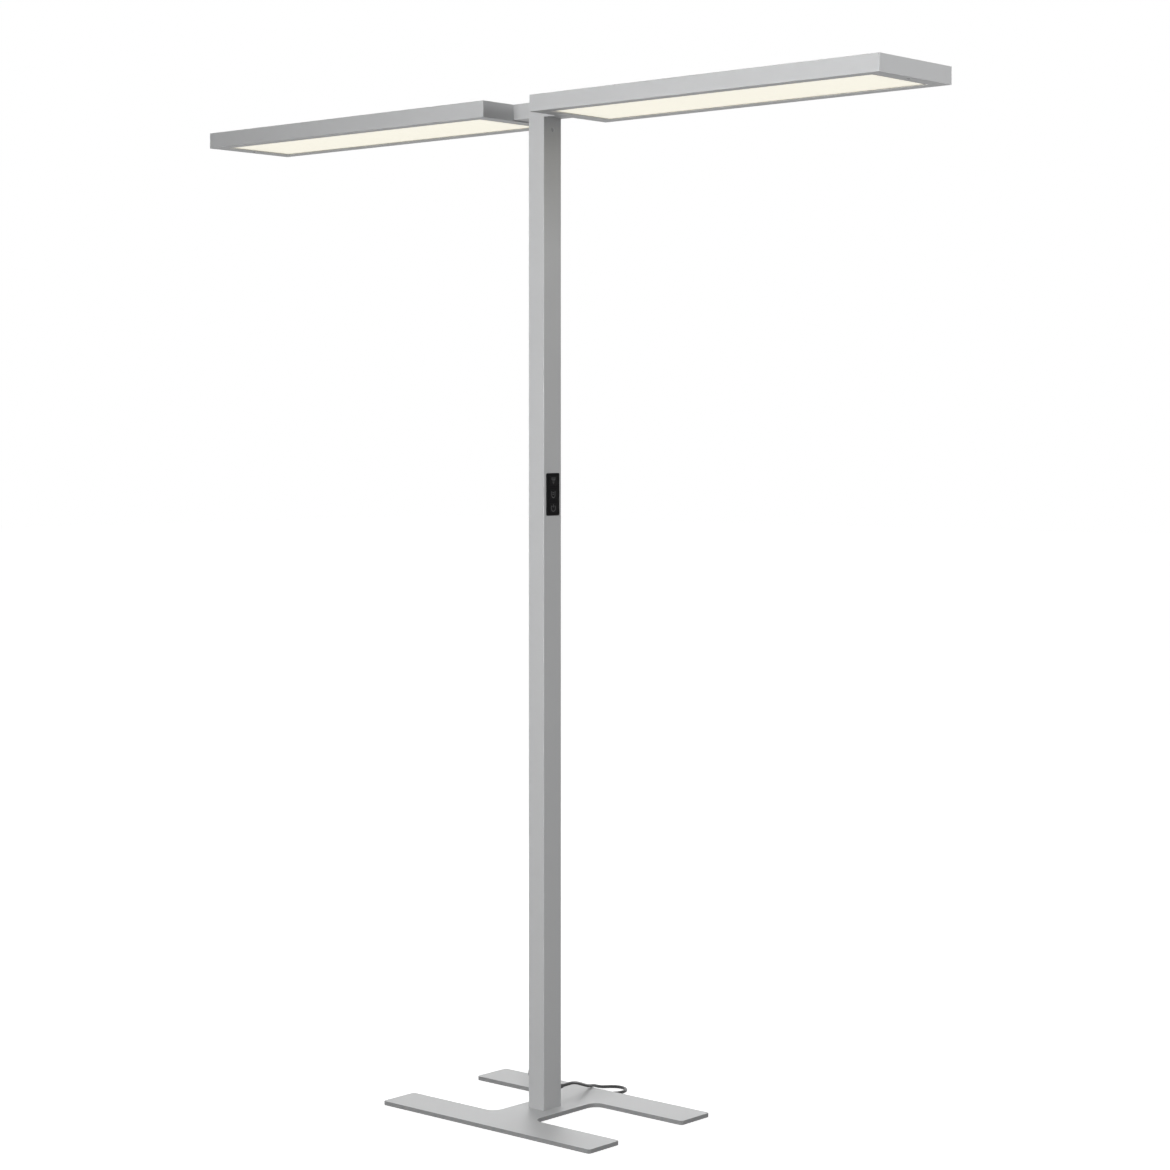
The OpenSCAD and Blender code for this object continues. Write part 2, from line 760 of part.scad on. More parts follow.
// A board on each rail, with its light-emitting packages facing the edge of the light guide
module head_led_strips() {
    last = floor((panel_len - led_pitch) / led_pitch);
    color("khaki") for (my = [0, 1]) mirror([0, my, 0]) {
        translate([panel_x0 + led_board_end_gap, rail_y - led_board_t, lip_t + led_board_gap])
            cube([panel_len - 2 * led_board_end_gap, led_board_t, back_z - lip_t - 2 * led_board_gap]);
        for (i = [0:last])
            translate([
                head_len / 2 + (i - last / 2) * led_pitch - led_w / 2,
                panel_half + led_gap,
                guide_z + guide_t / 2 - led_w / 2
            ]) cube([led_w, led_depth + eps, led_w]);
    }
}

module head_driver() {
    holes_x = driver_len / 2 + driver_tab / 2;
    color("whitesmoke") translate([driver_x + driver_len / 2, 0, driver_z]) {
        translate([-driver_len / 2, -driver_w / 2, 0]) cube([driver_len, driver_w, driver_h]);
        difference() {
            translate([-driver_len / 2 - driver_tab, -driver_w / 2, 0])
                cube([driver_len + 2 * driver_tab, driver_w, driver_tab_t]);
            for (sx = [-1, 1], sy = [-1, 1])
                translate([sx * holes_x, sy * driver_w / 3, -1])
                    cylinder(d = driver_tab_hole_d, h = driver_tab_t + 2);
        }
    }
}

module head_mount_block() {
    color("darkgray") difference() {
        translate([frame_wall, -mount_w / 2, lip_t]) cube([mount_x1 - frame_wall, mount_w, mount_h]);
        translate([frame_wall - 1, -carrier_w / 2 - seat_gap, carrier_z - seat_gap])
            cube([carrier_reach - frame_wall + 1 + seat_gap, carrier_w + 2 * seat_gap, carrier_t + 2 * seat_gap]);
        for (sy = [-1, 1]) translate([mount_screw_x, sy * mount_screw_y, carrier_z])
            cylinder(d = mount_screw_d + 2 * pass_gap, h = mount_h + lip_t);
        translate([0, 0, lead_z]) rotate([0, 90, 0]) cylinder(d = head_lead_d + 2 * pass_gap, h = lip_end);
    }
}

module head_sensor() {
    dome_r = sensor_d / 2 / sin(sensor_arc);
    color("whitesmoke") translate([sensor_x, 0, 0]) {
        intersection() {
            translate([0, 0, -sensor_proud]) cylinder(d = sensor_d, h = lip_t + sensor_proud + eps);
            translate([0, 0, dome_r - sensor_proud]) sphere(dome_r);
        }
        translate([0, 0, lip_t]) cylinder(d = sensor_flange_d, h = sensor_flange_t);
        translate([0, 0, lip_t]) cylinder(d = sensor_body_d, h = sensor_body_h);
    }
}

module head_lead() {
    start = junction_x / 2 - head_gap / 2;
    color("black") translate([start, 0, lead_z]) rotate([0, 90, 0]) cylinder(d = head_lead_d, h = driver_x - start);
}

// ---------- cord ----------

// One point of a smooth curve through b and c, with their neighbours a and d
function curve_point(a, b, c, d, t) =
    0.5 * (2 * b + (c - a) * t + (2 * a - 5 * b + 4 * c - d) * t * t + (3 * b - a - 3 * c + d) * t * t * t);

function smooth_path(p, steps) = [
    for (i = [0:len(p) - 2], k = [0:steps - 1])
        curve_point(p[max(i - 1, 0)], p[i], p[i + 1], p[min(i + 2, len(p) - 1)], k / steps),
    p[len(p) - 1]
];

function unit(v) = v / norm(v);

function path_direction(p, i) = unit(p[min(i + 1, len(p) - 1)] - p[max(i - 1, 0)]);

function ring_points(centre, along, r, sides) =
    let (side = unit(cross(along, [0, 0, 1])), up = cross(side, along))
    [for (k = [0:sides - 1]) centre + r * (cos((k + 0.5) * 360 / sides) * side + sin((k + 0.5) * 360 / sides) * up)];

// A tube of one radius along a path, square to the given directions at its two ends
module tube(path, r, sides, first, last) {
    n = len(path);
    points = [
        for (i = [0:n - 1])
            each ring_points(path[i], i == 0 ? first : i == n - 1 ? last : path_direction(path, i), r, sides)
    ];
    walls = [
        for (i = [0:n - 2], k = [0:sides - 1])
            let (a = i * sides + k, b = i * sides + (k + 1) % sides)
            each [[a, b, b + sides], [a, b + sides, a + sides]]
    ];
    end_faces = [
        for (k = [1:sides - 2]) each [
            [0, k + 1, k],
            [(n - 1) * sides, (n - 1) * sides + k, (n - 1) * sides + k + 1]
        ]
    ];
    polyhedron(points = points, faces = concat(walls, end_faces), convexity = 10);
}

hank_along = [-sin(hank_heading), cos(hank_heading), 0];
hank_side = [cos(hank_heading), sin(hank_heading), 0];

module cord_run() {
    color([0.12, 0.12, 0.12])
        tube(smooth_path(cord_route, cord_steps), cord_d / 2, cord_sides, [0, 1, 0], hank_along);
}

// The hank. How far a ring's loop lies outside the innermost one, in rings of the steady spiral.
turn_1 = hank_turns[0];
turn_2 = turn_1 + hank_turns[1];
turn_3 = turn_2 + hank_turns[2];
function spiral_out(i) =
    i <= turn_1 ? turn_1 - i : i <= turn_2 ? i - turn_1 : i <= turn_3 ? turn_3 - i : i - turn_3;

// How many layers a ring lies above the first: each climb takes the run in whose middle the spiral turns back
function climb(i, turn) = min(max((i - turn) / run_rings + 0.5, 0), 1);
function layers_up(i) = climb(i, turn_1) + climb(i, turn_2) + climb(i, turn_3);

// One ring's place: along the hank from its middle, and to its side
function hank_ring(i) =
    let (
        j = i % loop_rings,
        r = hank_fold_r + spiral_out(i) * hank_pitch / loop_rings,
        half = hank_run / 2,
        up_run = j <= run_rings,
        far_fold = j <= run_rings + fold_rings,
        down_run = j <= 2 * run_rings + fold_rings,
        k = up_run ? j : far_fold ? j - run_rings : down_run ? j - run_rings - fold_rings
            : j - 2 * run_rings - fold_rings,
        turn = 180 * k / fold_rings,
        u = up_run ? -half + hank_run * k / run_rings : far_fold ? half + r * sin(turn)
            : down_run ? half - hank_run * k / run_rings : -half - r * sin(turn),
        v = up_run ? r : far_fold ? r * cos(turn) : down_run ? -r : -r * cos(turn),
        waist = abs(u) < half ? 1 - hank_waist * pow(cos(90 * u / half), 2) : 1
    )
    [u, v * waist, layers_up(i) * hank_layer];

hank_first = hank_ring(0);
function hank_place(q) =
    hank_start + (q[0] - hank_first[0]) * hank_along + (q[1] - hank_first[1]) * hank_side + [0, 0, q[2]];
hank_wound = [for (i = [0:hank_rings]) hank_ring(i)];
hank_path = [
    for (q = hank_wound) hank_place(q),
    hank_place(hank_wound[hank_rings] - [cord_d, 0, 0])
];
hank_end = hank_path[len(hank_path) - 1];
hank_middle = hank_place([0, 0, 0]);
hank_top = (len(hank_turns) - 1) * hank_layer;

// Least gap of the hank to itself: from every ring to every stretch more than half a loop away
function stretch_distance(q, a, b) =
    let (t = min(max((q - a) * (b - a) / ((b - a) * (b - a)), 0), 1)) norm(q - a - t * (b - a));
hank_gap = min([
    for (i = [0:len(hank_path) - 1], j = [0:len(hank_path) - 2])
        if (abs(i - j) > loop_rings / 3) stretch_distance(hank_path[i], hank_path[j], hank_path[j + 1])
]) - cord_d;

function path_length(p, i = 0) = i >= len(p) - 1 ? 0 : norm(p[i + 1] - p[i]) + path_length(p, i + 1);

module cord_hank() {
    echo(hank_least_gap = hank_gap, hank_length = path_length(hank_path));
    color([0.12, 0.12, 0.12]) tube(hank_path, cord_d / 2, hank_sides, hank_along, -hank_along);
}

// From the end of the hank to the plug, which lies on the rear foot bar
tail_route = [for (q = tail_points) hank_end - q[0] * hank_along + q[1] * hank_side + [0, 0, q[2]]];
plug_entry = tail_route[len(tail_route) - 1];

module cord_tail() {
    echo(tail_length = path_length(smooth_path(tail_route, cord_steps)),
         run_length = path_length(smooth_path(cord_route, cord_steps)));
    color([0.12, 0.12, 0.12])
        tube(smooth_path(tail_route, cord_steps), cord_d / 2, cord_sides, -hank_along, -hank_along);
}

// How far the hank reaches to one side, where the tie goes round it
function waist_reach(side) =
    max([for (q = hank_wound) if (abs(q[0]) < tie_w) side * q[1]]) + cord_d / 2 + tie_gap;

module cord_tie() {
    right = waist_reach(1);
    left = waist_reach(-1);
    high = hank_top + cord_d + 2 * tie_gap;
    color("black") translate([hank_middle[0], hank_middle[1], hank_start[2] + hank_top / 2])
        rotate(hank_heading) rotate([90, 0, 0]) translate([(right - left) / 2, 0, -tie_w / 2])
            linear_extrude(tie_w) difference() {
                rounded(right + left + 2 * tie_t, high + 2 * tie_t, tie_corner);
                rounded(right + left, high, tie_corner - tie_t);
            }
}

// Turns z towards the plug's pins and sets the origin at the cord's entry
module at_plug() {
    translate(plug_entry) rotate(hank_heading) rotate([90, 0, 0]) children();
}

module mains_plug() {
    shoulder_z = plug_boot_len + plug_edge;
    color([0.12, 0.12, 0.12]) at_plug() {
        cylinder(d1 = plug_boot_d, d2 = plug_neck_d, h = plug_boot_len);
        translate([0, 0, plug_boot_len]) cylinder(d1 = plug_neck_d, d2 = plug_d, h = plug_edge);
        translate([0, 0, shoulder_z]) cylinder(d = plug_d, h = plug_body_len);
    }
}

module plug_pins() {
    color("silver") at_plug() for (s = [-1, 1])
        translate([s * plug_pin_half, 0, plug_boot_len + plug_edge + plug_body_len]) {
            cylinder(d = plug_pin_d, h = plug_pin_len - plug_pin_tip);
            translate([0, 0, plug_pin_len - plug_pin_tip])
                cylinder(d1 = plug_pin_d, d2 = plug_pin_d - 2, h = plug_pin_tip);
        }
}

// ---------- the lamp ----------

base_plate();
base_glides();
foot_block();
foot_screws();
post();
top_block();
post_set_screw();
crossbar();
crossbar_lid();
lid_screws();
head_carrier();
carrier_post_screws();
carrier_head_screws();
junction_block();
supply_lead();
control_lead();
cord_gland();
cord_run();
cord_hank();
cord_tail();
cord_tie();
mains_plug();
plug_pins();
control_fascia();
control_tray();
control_board();
key_switches();
key_up();
key_down();
key_power();
at_head("right") head_frame();  // right_frame
at_head("right") head_top_cover();  // right_top_cover
at_head("right") head_cover_screws();  // right_cover_screws
at_head("right") head_back_plate();  // right_back_plate
at_head("right") head_reflector();  // right_reflector
at_head("right") head_light_guide();  // right_light_guide
at_head("right") head_diffuser();  // right_diffuser
at_head("right") head_led_strips();  // right_led_strips
at_head("right") head_driver();  // right_driver
at_head("right") head_mount_block();  // right_mount_block
at_head("right") head_sensor();  // right_sensor
at_head("right") head_lead();  // right_head_lead
at_head("left") head_frame();  // left_frame
at_head("left") head_top_cover();  // left_top_cover
at_head("left") head_cover_screws();  // left_cover_screws
at_head("left") head_back_plate();  // left_back_plate
at_head("left") head_reflector();  // left_reflector
at_head("left") head_light_guide();  // left_light_guide
at_head("left") head_diffuser();  // left_diffuser
at_head("left") head_led_strips();  // left_led_strips
at_head("left") head_driver();  // left_driver
at_head("left") head_mount_block();  // left_mount_block
at_head("left") head_sensor();  // left_sensor
at_head("left") head_lead();  // left_head_lead
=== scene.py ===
"""Looks of an office floor lamp: two flat luminous heads on a rectangular post with an H-shaped base."""

from __future__ import annotations

import json
import logging
import math
from collections.abc import Callable, Iterable, Sequence
from dataclasses import dataclass, field
from enum import Enum
from functools import partial
from itertools import accumulate
from typing import Any, Protocol

import bmesh
import bpy
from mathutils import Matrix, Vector

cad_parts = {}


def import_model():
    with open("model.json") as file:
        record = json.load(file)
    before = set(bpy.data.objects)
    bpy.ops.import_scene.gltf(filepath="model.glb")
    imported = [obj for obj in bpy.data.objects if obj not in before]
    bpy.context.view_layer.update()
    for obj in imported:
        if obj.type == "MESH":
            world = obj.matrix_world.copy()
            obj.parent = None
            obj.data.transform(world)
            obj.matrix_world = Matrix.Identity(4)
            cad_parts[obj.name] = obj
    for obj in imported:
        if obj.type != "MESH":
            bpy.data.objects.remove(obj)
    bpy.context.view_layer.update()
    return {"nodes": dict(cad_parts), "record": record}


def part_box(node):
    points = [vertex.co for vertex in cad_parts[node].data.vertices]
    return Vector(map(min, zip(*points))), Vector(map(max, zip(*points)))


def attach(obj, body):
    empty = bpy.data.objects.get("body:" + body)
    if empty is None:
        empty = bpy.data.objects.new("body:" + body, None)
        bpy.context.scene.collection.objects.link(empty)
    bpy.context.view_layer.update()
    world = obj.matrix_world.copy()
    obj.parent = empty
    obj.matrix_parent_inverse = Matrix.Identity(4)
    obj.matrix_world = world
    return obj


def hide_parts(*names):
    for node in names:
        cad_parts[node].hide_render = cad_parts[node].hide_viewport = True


LOG = logging.getLogger("floor_lamp")
MM = 0.001
LAMP_BODY = "lamp"
TINY = 1e-9

# The Mix node's sockets for colours, and the Wave node's scale for crests one metre apart.
MIX_FIRST, MIX_SECOND, MIX_RESULT = 6, 7, 2
WAVE_SCALE = math.pi / 10.0

# A span is a pair of limits or factors, and a spot is a point in a plane.
Colour = tuple[float, float, float]
Point = tuple[float, float, float]
Span = tuple[float, float]
Spot = tuple[float, float]
MeshCode = Callable[[bmesh.types.BMesh], None]


# ---------------------------------------------------------------- node trees


class Graph:
    """A material's node tree, with short ways to add nodes and to join them."""

    def __init__(self, name: str) -> None:
        """Makes an empty material.

        Args:
            name: the material's name.
        """
        self.material = bpy.data.materials.new(name)
        self.material.use_nodes = True
        self.tree = self.material.node_tree
        self.tree.nodes.clear()
        self.place = self.add("ShaderNodeTexCoord").outputs["Object"]

    def add(self, kind: str, **settings: object) -> bpy.types.Node:
        """Adds a node.

        Args:
            kind: the node's type.
            settings: values of its properties.

        Returns:
            The node.
        """
        node = self.tree.nodes.new(kind)
        for key, value in settings.items():
            setattr(node, key, value)
        return node

    def feed(self, target: bpy.types.NodeSocket, value: object) -> None:
        """Links a socket to an input, or sets the input to a number or a colour.

        Args:
            target: the input.
            value: an output socket, a number, or a colour of three numbers.
        """
        if isinstance(value, bpy.types.NodeSocket):
            self.tree.links.new(value, target)
        elif isinstance(value, tuple) and target.type == "RGBA":
            target.default_value = (*value, 1.0)
        else:
            target.default_value = value

    def stretched(self, scale: Point) -> bpy.types.NodeSocket:
        """Gives the object's coordinates, scaled along each axis.

        Args:
            scale: the factors along X, Y and Z.

        Returns:
            The scaled coordinates.
        """
        node = self.add("ShaderNodeVectorMath", operation="MULTIPLY")
        self.feed(node.inputs[0], self.place)
        node.inputs[1].default_value = scale
        return node.outputs["Vector"]

    def noise(self, grain: float, detail: float = 2.0, place: object = None) -> bpy.types.NodeSocket:
        """Adds a noise of grains of about one size.

        Args:
            grain: the grains' size in metres.
            detail: the number of finer octaves.
            place: coordinates that replace the object's own.

        Returns:
            The noise, from 0 to 1.
        """
        node = self.add("ShaderNodeTexNoise")
        self.feed(node.inputs["Vector"], place or self.place)
        node.inputs["Scale"].default_value = 1.0 / grain
        node.inputs["Detail"].default_value = detail
        return node.outputs["Fac"]

    def cells(self, size: float) -> bpy.types.NodeSocket:
        """Adds rounded cells of one size.

        Args:
            size: the cells' size in metres.

        Returns:
            The distance from each cell's centre.
        """
        node = self.add("ShaderNodeTexVoronoi")
        self.feed(node.inputs["Vector"], self.place)
        node.inputs["Scale"].default_value = 1.0 / size
        return node.outputs["Distance"]

    def waves(self, pitch: float, direction: str, distortion: float = 0.0) -> bpy.types.NodeSocket:
        """Adds straight waves.

        Args:
            pitch: the distance between two crests in metres.
            direction: the axis that they follow one another along: X, Y or Z.
            distortion: how far they wander.

        Returns:
            The waves, from 0 to 1.
        """
        node = self.add("ShaderNodeTexWave", bands_direction=direction)
        self.feed(node.inputs["Vector"], self.place)
        node.inputs["Scale"].default_value = WAVE_SCALE / pitch
        node.inputs["Distortion"].default_value = distortion
        return node.outputs["Fac"]

    def between(self, share: object, low: float, high: float) -> bpy.types.NodeSocket:
        """Maps 0 to 1 onto a range.

        Args:
            share: the value from 0 to 1.
            low: what 0 becomes.
            high: what 1 becomes.

        Returns:
            The mapped value.
        """
        node = self.add("ShaderNodeMapRange")
        self.feed(node.inputs["Value"], share)
        node.inputs["To Min"].default_value = low
        node.inputs["To Max"].default_value = high
        return node.outputs["Result"]

    def around(self, share: object, middle: float, span: Span) -> bpy.types.NodeSocket:
        """Maps 0 to 1 onto a range that reaches by a span below and above a middle value."""
        below, above = span
        return self.between(share, middle - below, middle + above)

    def sharpened(self, share: object, low: float, high: float) -> bpy.types.NodeSocket:
        """Stretches a narrow range of a value over 0 to 1.

        Args:
            share: the value.
            low: what becomes 0.
            high: what becomes 1.

        Returns:
            The stretched value.
        """
        node = self.add("ShaderNodeMapRange")
        self.feed(node.inputs["Value"], share)
        node.inputs["From Min"].default_value = low
        node.inputs["From Max"].default_value = high
        return node.outputs["Result"]

    def maths(self, operation: str, first: object, second: object) -> bpy.types.NodeSocket:
        """Joins two values by one operation.

        Args:
            operation: the Math node's operation.
            first: the first value.
            second: the second value.

        Returns:
            The result.
        """
        node = self.add("ShaderNodeMath", operation=operation)
        self.feed(node.inputs[0], first)
        self.feed(node.inputs[1], second)
        return node.outputs["Value"]

    def blend(self, share: object, dark: object, light: object) -> bpy.types.NodeSocket:
        """Mixes two colours.

        Args:
            share: how much of the second one, from 0 to 1.
            dark: the first colour.
            light: the second colour.

        Returns:
            The mixed colour.
        """
        node = self.add("ShaderNodeMix", data_type="RGBA")
        self.feed(node.inputs["Factor"], share)
        self.feed(node.inputs[MIX_FIRST], dark)
        self.feed(node.inputs[MIX_SECOND], light)
        return node.outputs[MIX_RESULT]

    def varied(self, share: object, tone: Colour, shades: Span) -> bpy.types.NodeSocket:
        """Mixes two shades of one colour, by how much of the second there is, from 0 to 1."""
        first, second = shades
        return self.blend(share, shade(tone, first), shade(tone, second))

    def bump(self, height: object, depth: float) -> bpy.types.NodeSocket:
        """Turns a height into a normal.

        Args:
            height: the height, from 0 to 1.
            depth: what 1 stands for, in metres.

        Returns:
            The normal.
        """
        node = self.add("ShaderNodeBump")
        node.inputs["Distance"].default_value = depth
        self.feed(node.inputs["Height"], height)
        return node.outputs["Normal"]

    def surface(self, **inputs: object) -> bpy.types.Material:
        """Ends the tree in one Principled shader.

        Args:
            inputs: its inputs, with underscores for the spaces in their names.

        Returns:
            The finished material.
        """
        shader = self.add("ShaderNodeBsdfPrincipled")
        for key, value in inputs.items():
            self.feed(shader.inputs[key.replace("_", " ")], value)
        self.end(shader.outputs["BSDF"])
        return self.material

    def end(self, shader: bpy.types.NodeSocket) -> None:
        """Joins a shader to the material's output."""
        output = self.add("ShaderNodeOutputMaterial")
        self.tree.links.new(shader, output.inputs["Surface"])


def shade(tone: Colour, factor: float) -> Colour:
    """Makes a colour lighter or darker by a factor, and keeps its three numbers at 1 or less."""
    return tuple(min(1.0, channel * factor) for channel in tone)


# ---------------------------------------------------------------- finishes


class Finish(Protocol):
    """What every finish offers."""

    def material(self) -> bpy.types.Material:
        """Builds the finish's material."""


@dataclass(frozen=True)
class PowderCoat:
    """Fine-textured powder coat, with the slight mottle that a sprayed coat has."""

    name: str
    tone: Colour
    shades: Span = (0.955, 1.045)
    grain: float = 0.55 * MM
    octaves: float = 3.0
    pebble: float = 1.7
    depth: float = 0.018 * MM
    mottle: float = 90 * MM
    mottle_share: float = 0.45
    roughness: float = 0.46
    roughness_span: Span = (0.06, 0.08)
    shine: float = 0.42

    def tint(self, g: Graph, thickness: bpy.types.NodeSocket) -> bpy.types.NodeSocket:
        """Gives the coat's colour, by how thick the coat lies, from 0 to 1."""
        return g.varied(thickness, self.tone, self.shades)

    def material(self) -> bpy.types.Material:
        """Builds the material.

        Returns:
            The finished material.
        """
        g = Graph(self.name)
        speckle = g.noise(self.grain, detail=self.octaves)
        mottle = g.noise(self.mottle, detail=self.octaves)
        fine = g.between(speckle, 0.0, 1.0 - self.mottle_share)
        broad = g.between(mottle, 0.0, self.mottle_share)
        relief = g.maths("ADD", speckle, g.cells(self.grain * self.pebble))
        return g.surface(
            Base_Color=self.tint(g, g.maths("ADD", fine, broad)),
            Roughness=g.around(speckle, self.roughness, self.roughness_span),
            Specular_IOR_Level=self.shine,
            Normal=g.bump(relief, self.depth),
        )


@dataclass(frozen=True)
class PlateCoatWithPaintedShade(PowderCoat):
    """Powder coat on a plate, with painted shade on its upright cut edges: they are coloured darker than the
    faces, standing in for the shade that falls on them.
    """

    # Painted shade: how much darker the upright edges are coloured than the faces.
    painted_edge_shade: float = 0.56
    painted_edge_shades: Span = (0.95, 1.05)
    face_slope: Span = (0.25, 0.75)

    def tint(self, g: Graph, thickness: bpy.types.NodeSocket) -> bpy.types.NodeSocket:
        """Gives the coat's colour, with painted shade where the surface stands upright.

        Args:
            g: the material's node tree.
            thickness: how thick the coat lies, from 0 to 1.

        Returns:
            The colour.
        """
        face = super().tint(g, thickness)
        # Painted shade: a darker copy of the coat for the upright edges, chosen by the surface's slope.
        edge = g.varied(thickness, shade(self.tone, self.painted_edge_shade), self.painted_edge_shades)
        lie = g.add("ShaderNodeSeparateXYZ")
        g.feed(lie.inputs[0], g.add("ShaderNodeTexCoord").outputs["Normal"])
        flat = g.sharpened(g.maths("ABSOLUTE", lie.outputs["Z"], 0.0), *self.face_slope)
        return g.blend(flat, edge, face)


@dataclass(frozen=True)
class OpalSheet:
    """A lit opal sheet with fine prisms, a little brighter where the light enters along its long edges."""

    name: str
    tone: Colour
    glow: Colour
    strength: float
    half_width: float
    shades: Span = (0.98, 1.0)
    prism: float = 2.2 * MM
    prism_glow: Span = (-0.008, 0.008)
    depth: float = 0.12 * MM
    edge_from: float = 0.55
    edge_glow: Span = (0.985, 1.02)
    cloud: float = 160 * MM
    cloud_glow: Span = (-0.012, 0.012)
    roughness: Span = (0.42, 0.55)

    def material(self) -> bpy.types.Material:
        """Builds the material.

        Returns:
            The finished material.
        """
        g = Graph(self.name)
        parts = g.add("ShaderNodeSeparateXYZ")
        g.feed(parts.inputs[0], g.place)
        aside = g.maths("ABSOLUTE", parts.outputs["Y"], 0.0)
        edge = g.sharpened(aside, self.edge_from * self.half_width, self.half_width)
        prisms = g.maths("MULTIPLY", g.waves(self.prism, "X"), g.waves(self.prism, "Y"))
        cloud = g.noise(self.cloud, detail=1.0)
        level = g.maths("ADD", g.between(cloud, *self.cloud_glow), g.between(edge, *self.edge_glow))
        level = g.maths("ADD", level, g.between(prisms, *self.prism_glow))
        return g.surface(
            Base_Color=g.varied(prisms, self.tone, self.shades),
            Roughness=g.between(prisms, *self.roughness),
            Normal=g.bump(prisms, self.depth),
            Emission_Color=self.glow,
            Emission_Strength=g.maths("MULTIPLY", level, self.strength),
        )


@dataclass(frozen=True)
class MouldedPlastic:
    """Moulded plastic with a spark-eroded grain."""

    name: str
    tone: Colour
    shades: Span = (0.9, 1.12)
    flow: float = 25 * MM
    grain: float = 0.35 * MM
    octaves: float = 4.0
    depth: float = 0.02 * MM
    roughness: float = 0.5
    roughness_span: Span = (0.08, 0.1)
    shine: float = 0.45

    def material(self) -> bpy.types.Material:
        """Builds the material.

        Returns:
            The finished material.
        """
        g = Graph(self.name)
        grain = g.noise(self.grain, detail=self.octaves)
        return g.surface(
            Base_Color=g.varied(g.noise(self.flow), self.tone, self.shades),
            Roughness=g.around(grain, self.roughness, self.roughness_span),
            Specular_IOR_Level=self.shine,
            Normal=g.bump(grain, self.depth),
        )


@dataclass(frozen=True)
class CordJacket:
    """Smooth extruded jacket with faint unevenness and some dust."""

    name: str
    tone: Colour
    shades: Span = (1.0, 1.7)
    dust: float = 30 * MM
    dust_octaves: float = 5.0
    dust_from: Span = (0.5, 0.8)
    skin: float = 1.2 * MM
    skin_octaves: float = 3.0
    depth: float = 0.03 * MM
    roughness: float = 0.42
    roughness_span: Span = (0.05, 0.12)
    shine: float = 0.5

    def material(self) -> bpy.types.Material:
        """Builds the material.

        Returns:
            The finished material.
        """
        g = Graph(self.name)
        skin = g.noise(self.skin, detail=self.skin_octaves)
        dust = g.sharpened(g.noise(self.dust, detail=self.dust_octaves), *self.dust_from)
        return g.surface(
            Base_Color=g.varied(dust, self.tone, self.shades),
            Roughness=g.around(skin, self.roughness, self.roughness_span),
            Specular_IOR_Level=self.shine,
            Normal=g.bump(skin, self.depth),
        )


@dataclass(frozen=True)
class PlatedMetal:
    """Plated or bare metal with drawn lines along one direction."""

    name: str
    tone: Colour
    shades: Span = (0.88, 1.08)
    bloom: float = 9 * MM
    bloom_octaves: float = 3.0
    line: float = 6 * MM
    line_octaves: float = 4.0
    stretch: Point = (1.0, 30.0, 30.0)
    depth: float = 0.01 * MM
    roughness: float = 0.32
    roughness_span: Span = (0.1, 0.14)

    def material(self) -> bpy.types.Material:
        """Builds the material.

        Returns:
            The finished material.
        """
        g = Graph(self.name)
        lines = g.noise(self.line, detail=self.line_octaves, place=g.stretched(self.stretch))
        bloom = g.noise(self.bloom, detail=self.bloom_octaves)
        return g.surface(
            Base_Color=g.varied(bloom, self.tone, self.shades),
            Metallic=1.0,
            Roughness=g.around(lines, self.roughness, self.roughness_span),
            Normal=g.bump(lines, self.depth),
        )


@dataclass(frozen=True)
class ClearSheet:
    """Clear cast sheet with polished faces and printed light-extraction dots."""

    name: str
    tone: Colour
    shades: Span = (1.1, 1.0)
    dot_pitch: float = 3 * MM
    dot_edge: Span = (0.2, 0.24)
    roughness: Span = (0.35, 0.04)
    clearness: float = 0.9
    refraction: float = 1.49

    def material(self) -> bpy.types.Material:
        """Builds the material.

        Returns:
            The finished material.
        """
        g = Graph(self.name)
        dots = g.sharpened(g.cells(self.dot_pitch), *self.dot_edge)
        return g.surface(
            Base_Color=g.varied(dots, self.tone, self.shades),
            Roughness=g.between(dots, *self.roughness),
            Transmission_Weight=self.clearness,
            IOR=self.refraction,
        )


@dataclass(frozen=True)
class PrintedBoard:
    """A circuit board: solder resist over copper tracks, with pale pads."""

    name: str
    tone: Colour
    track: Colour
    pad: Colour = (0.62, 0.6, 0.52)
    track_pitch: float = 2.4 * MM
    track_wander: float = 3.0
    track_edge: Span = (0.55, 0.65)
    pad_pitch: float = 5 * MM
    pad_edge: Span = (0.16, 0.12)
    depth: float = 0.03 * MM
    roughness: Span = (0.34, 0.42)

    def material(self) -> bpy.types.Material:
        """Builds the material.

        Returns:
            The finished material.
        """
        g = Graph(self.name)
        tracks = g.sharpened(g.waves(self.track_pitch, "Z", distortion=self.track_wander), *self.track_edge)
        pads = g.sharpened(g.cells(self.pad_pitch), *self.pad_edge)
        under = g.blend(tracks, self.tone, self.track)
        return g.surface(
            Base_Color=g.blend(pads, under, self.pad),
            Roughness=g.between(tracks, *self.roughness),
            Normal=g.bump(tracks, self.depth),
        )


@dataclass(frozen=True)
class WovenStrap:
    """Woven hook and loop strap."""

    name: str
    tone: Colour
    shades: Span = (0.6, 1.5)
    yarn: float = 0.9 * MM
    yarn_wander: float = 0.6
    fuzz: float = 0.4 * MM
    fuzz_octaves: float = 4.0
    depth: float = 0.2 * MM
    roughness: Span = (0.75, 0.95)
    sheen: float = 0.3

    def material(self) -> bpy.types.Material:
        """Builds the material.

        Returns:
            The finished material.
        """
        g = Graph(self.name)
        across = g.waves(self.yarn, "Z", distortion=self.yarn_wander)
        along = g.waves(self.yarn, "X", distortion=self.yarn_wander)
        weave = g.maths("MAXIMUM", across, along)
        fuzz = g.noise(self.fuzz, detail=self.fuzz_octaves)
        return g.surface(
            Base_Color=g.varied(weave, self.tone, self.shades),
            Roughness=g.between(fuzz, *self.roughness),
            Sheen_Weight=self.sheen,
            Normal=g.bump(g.maths("ADD", weave, fuzz), self.depth),
        )


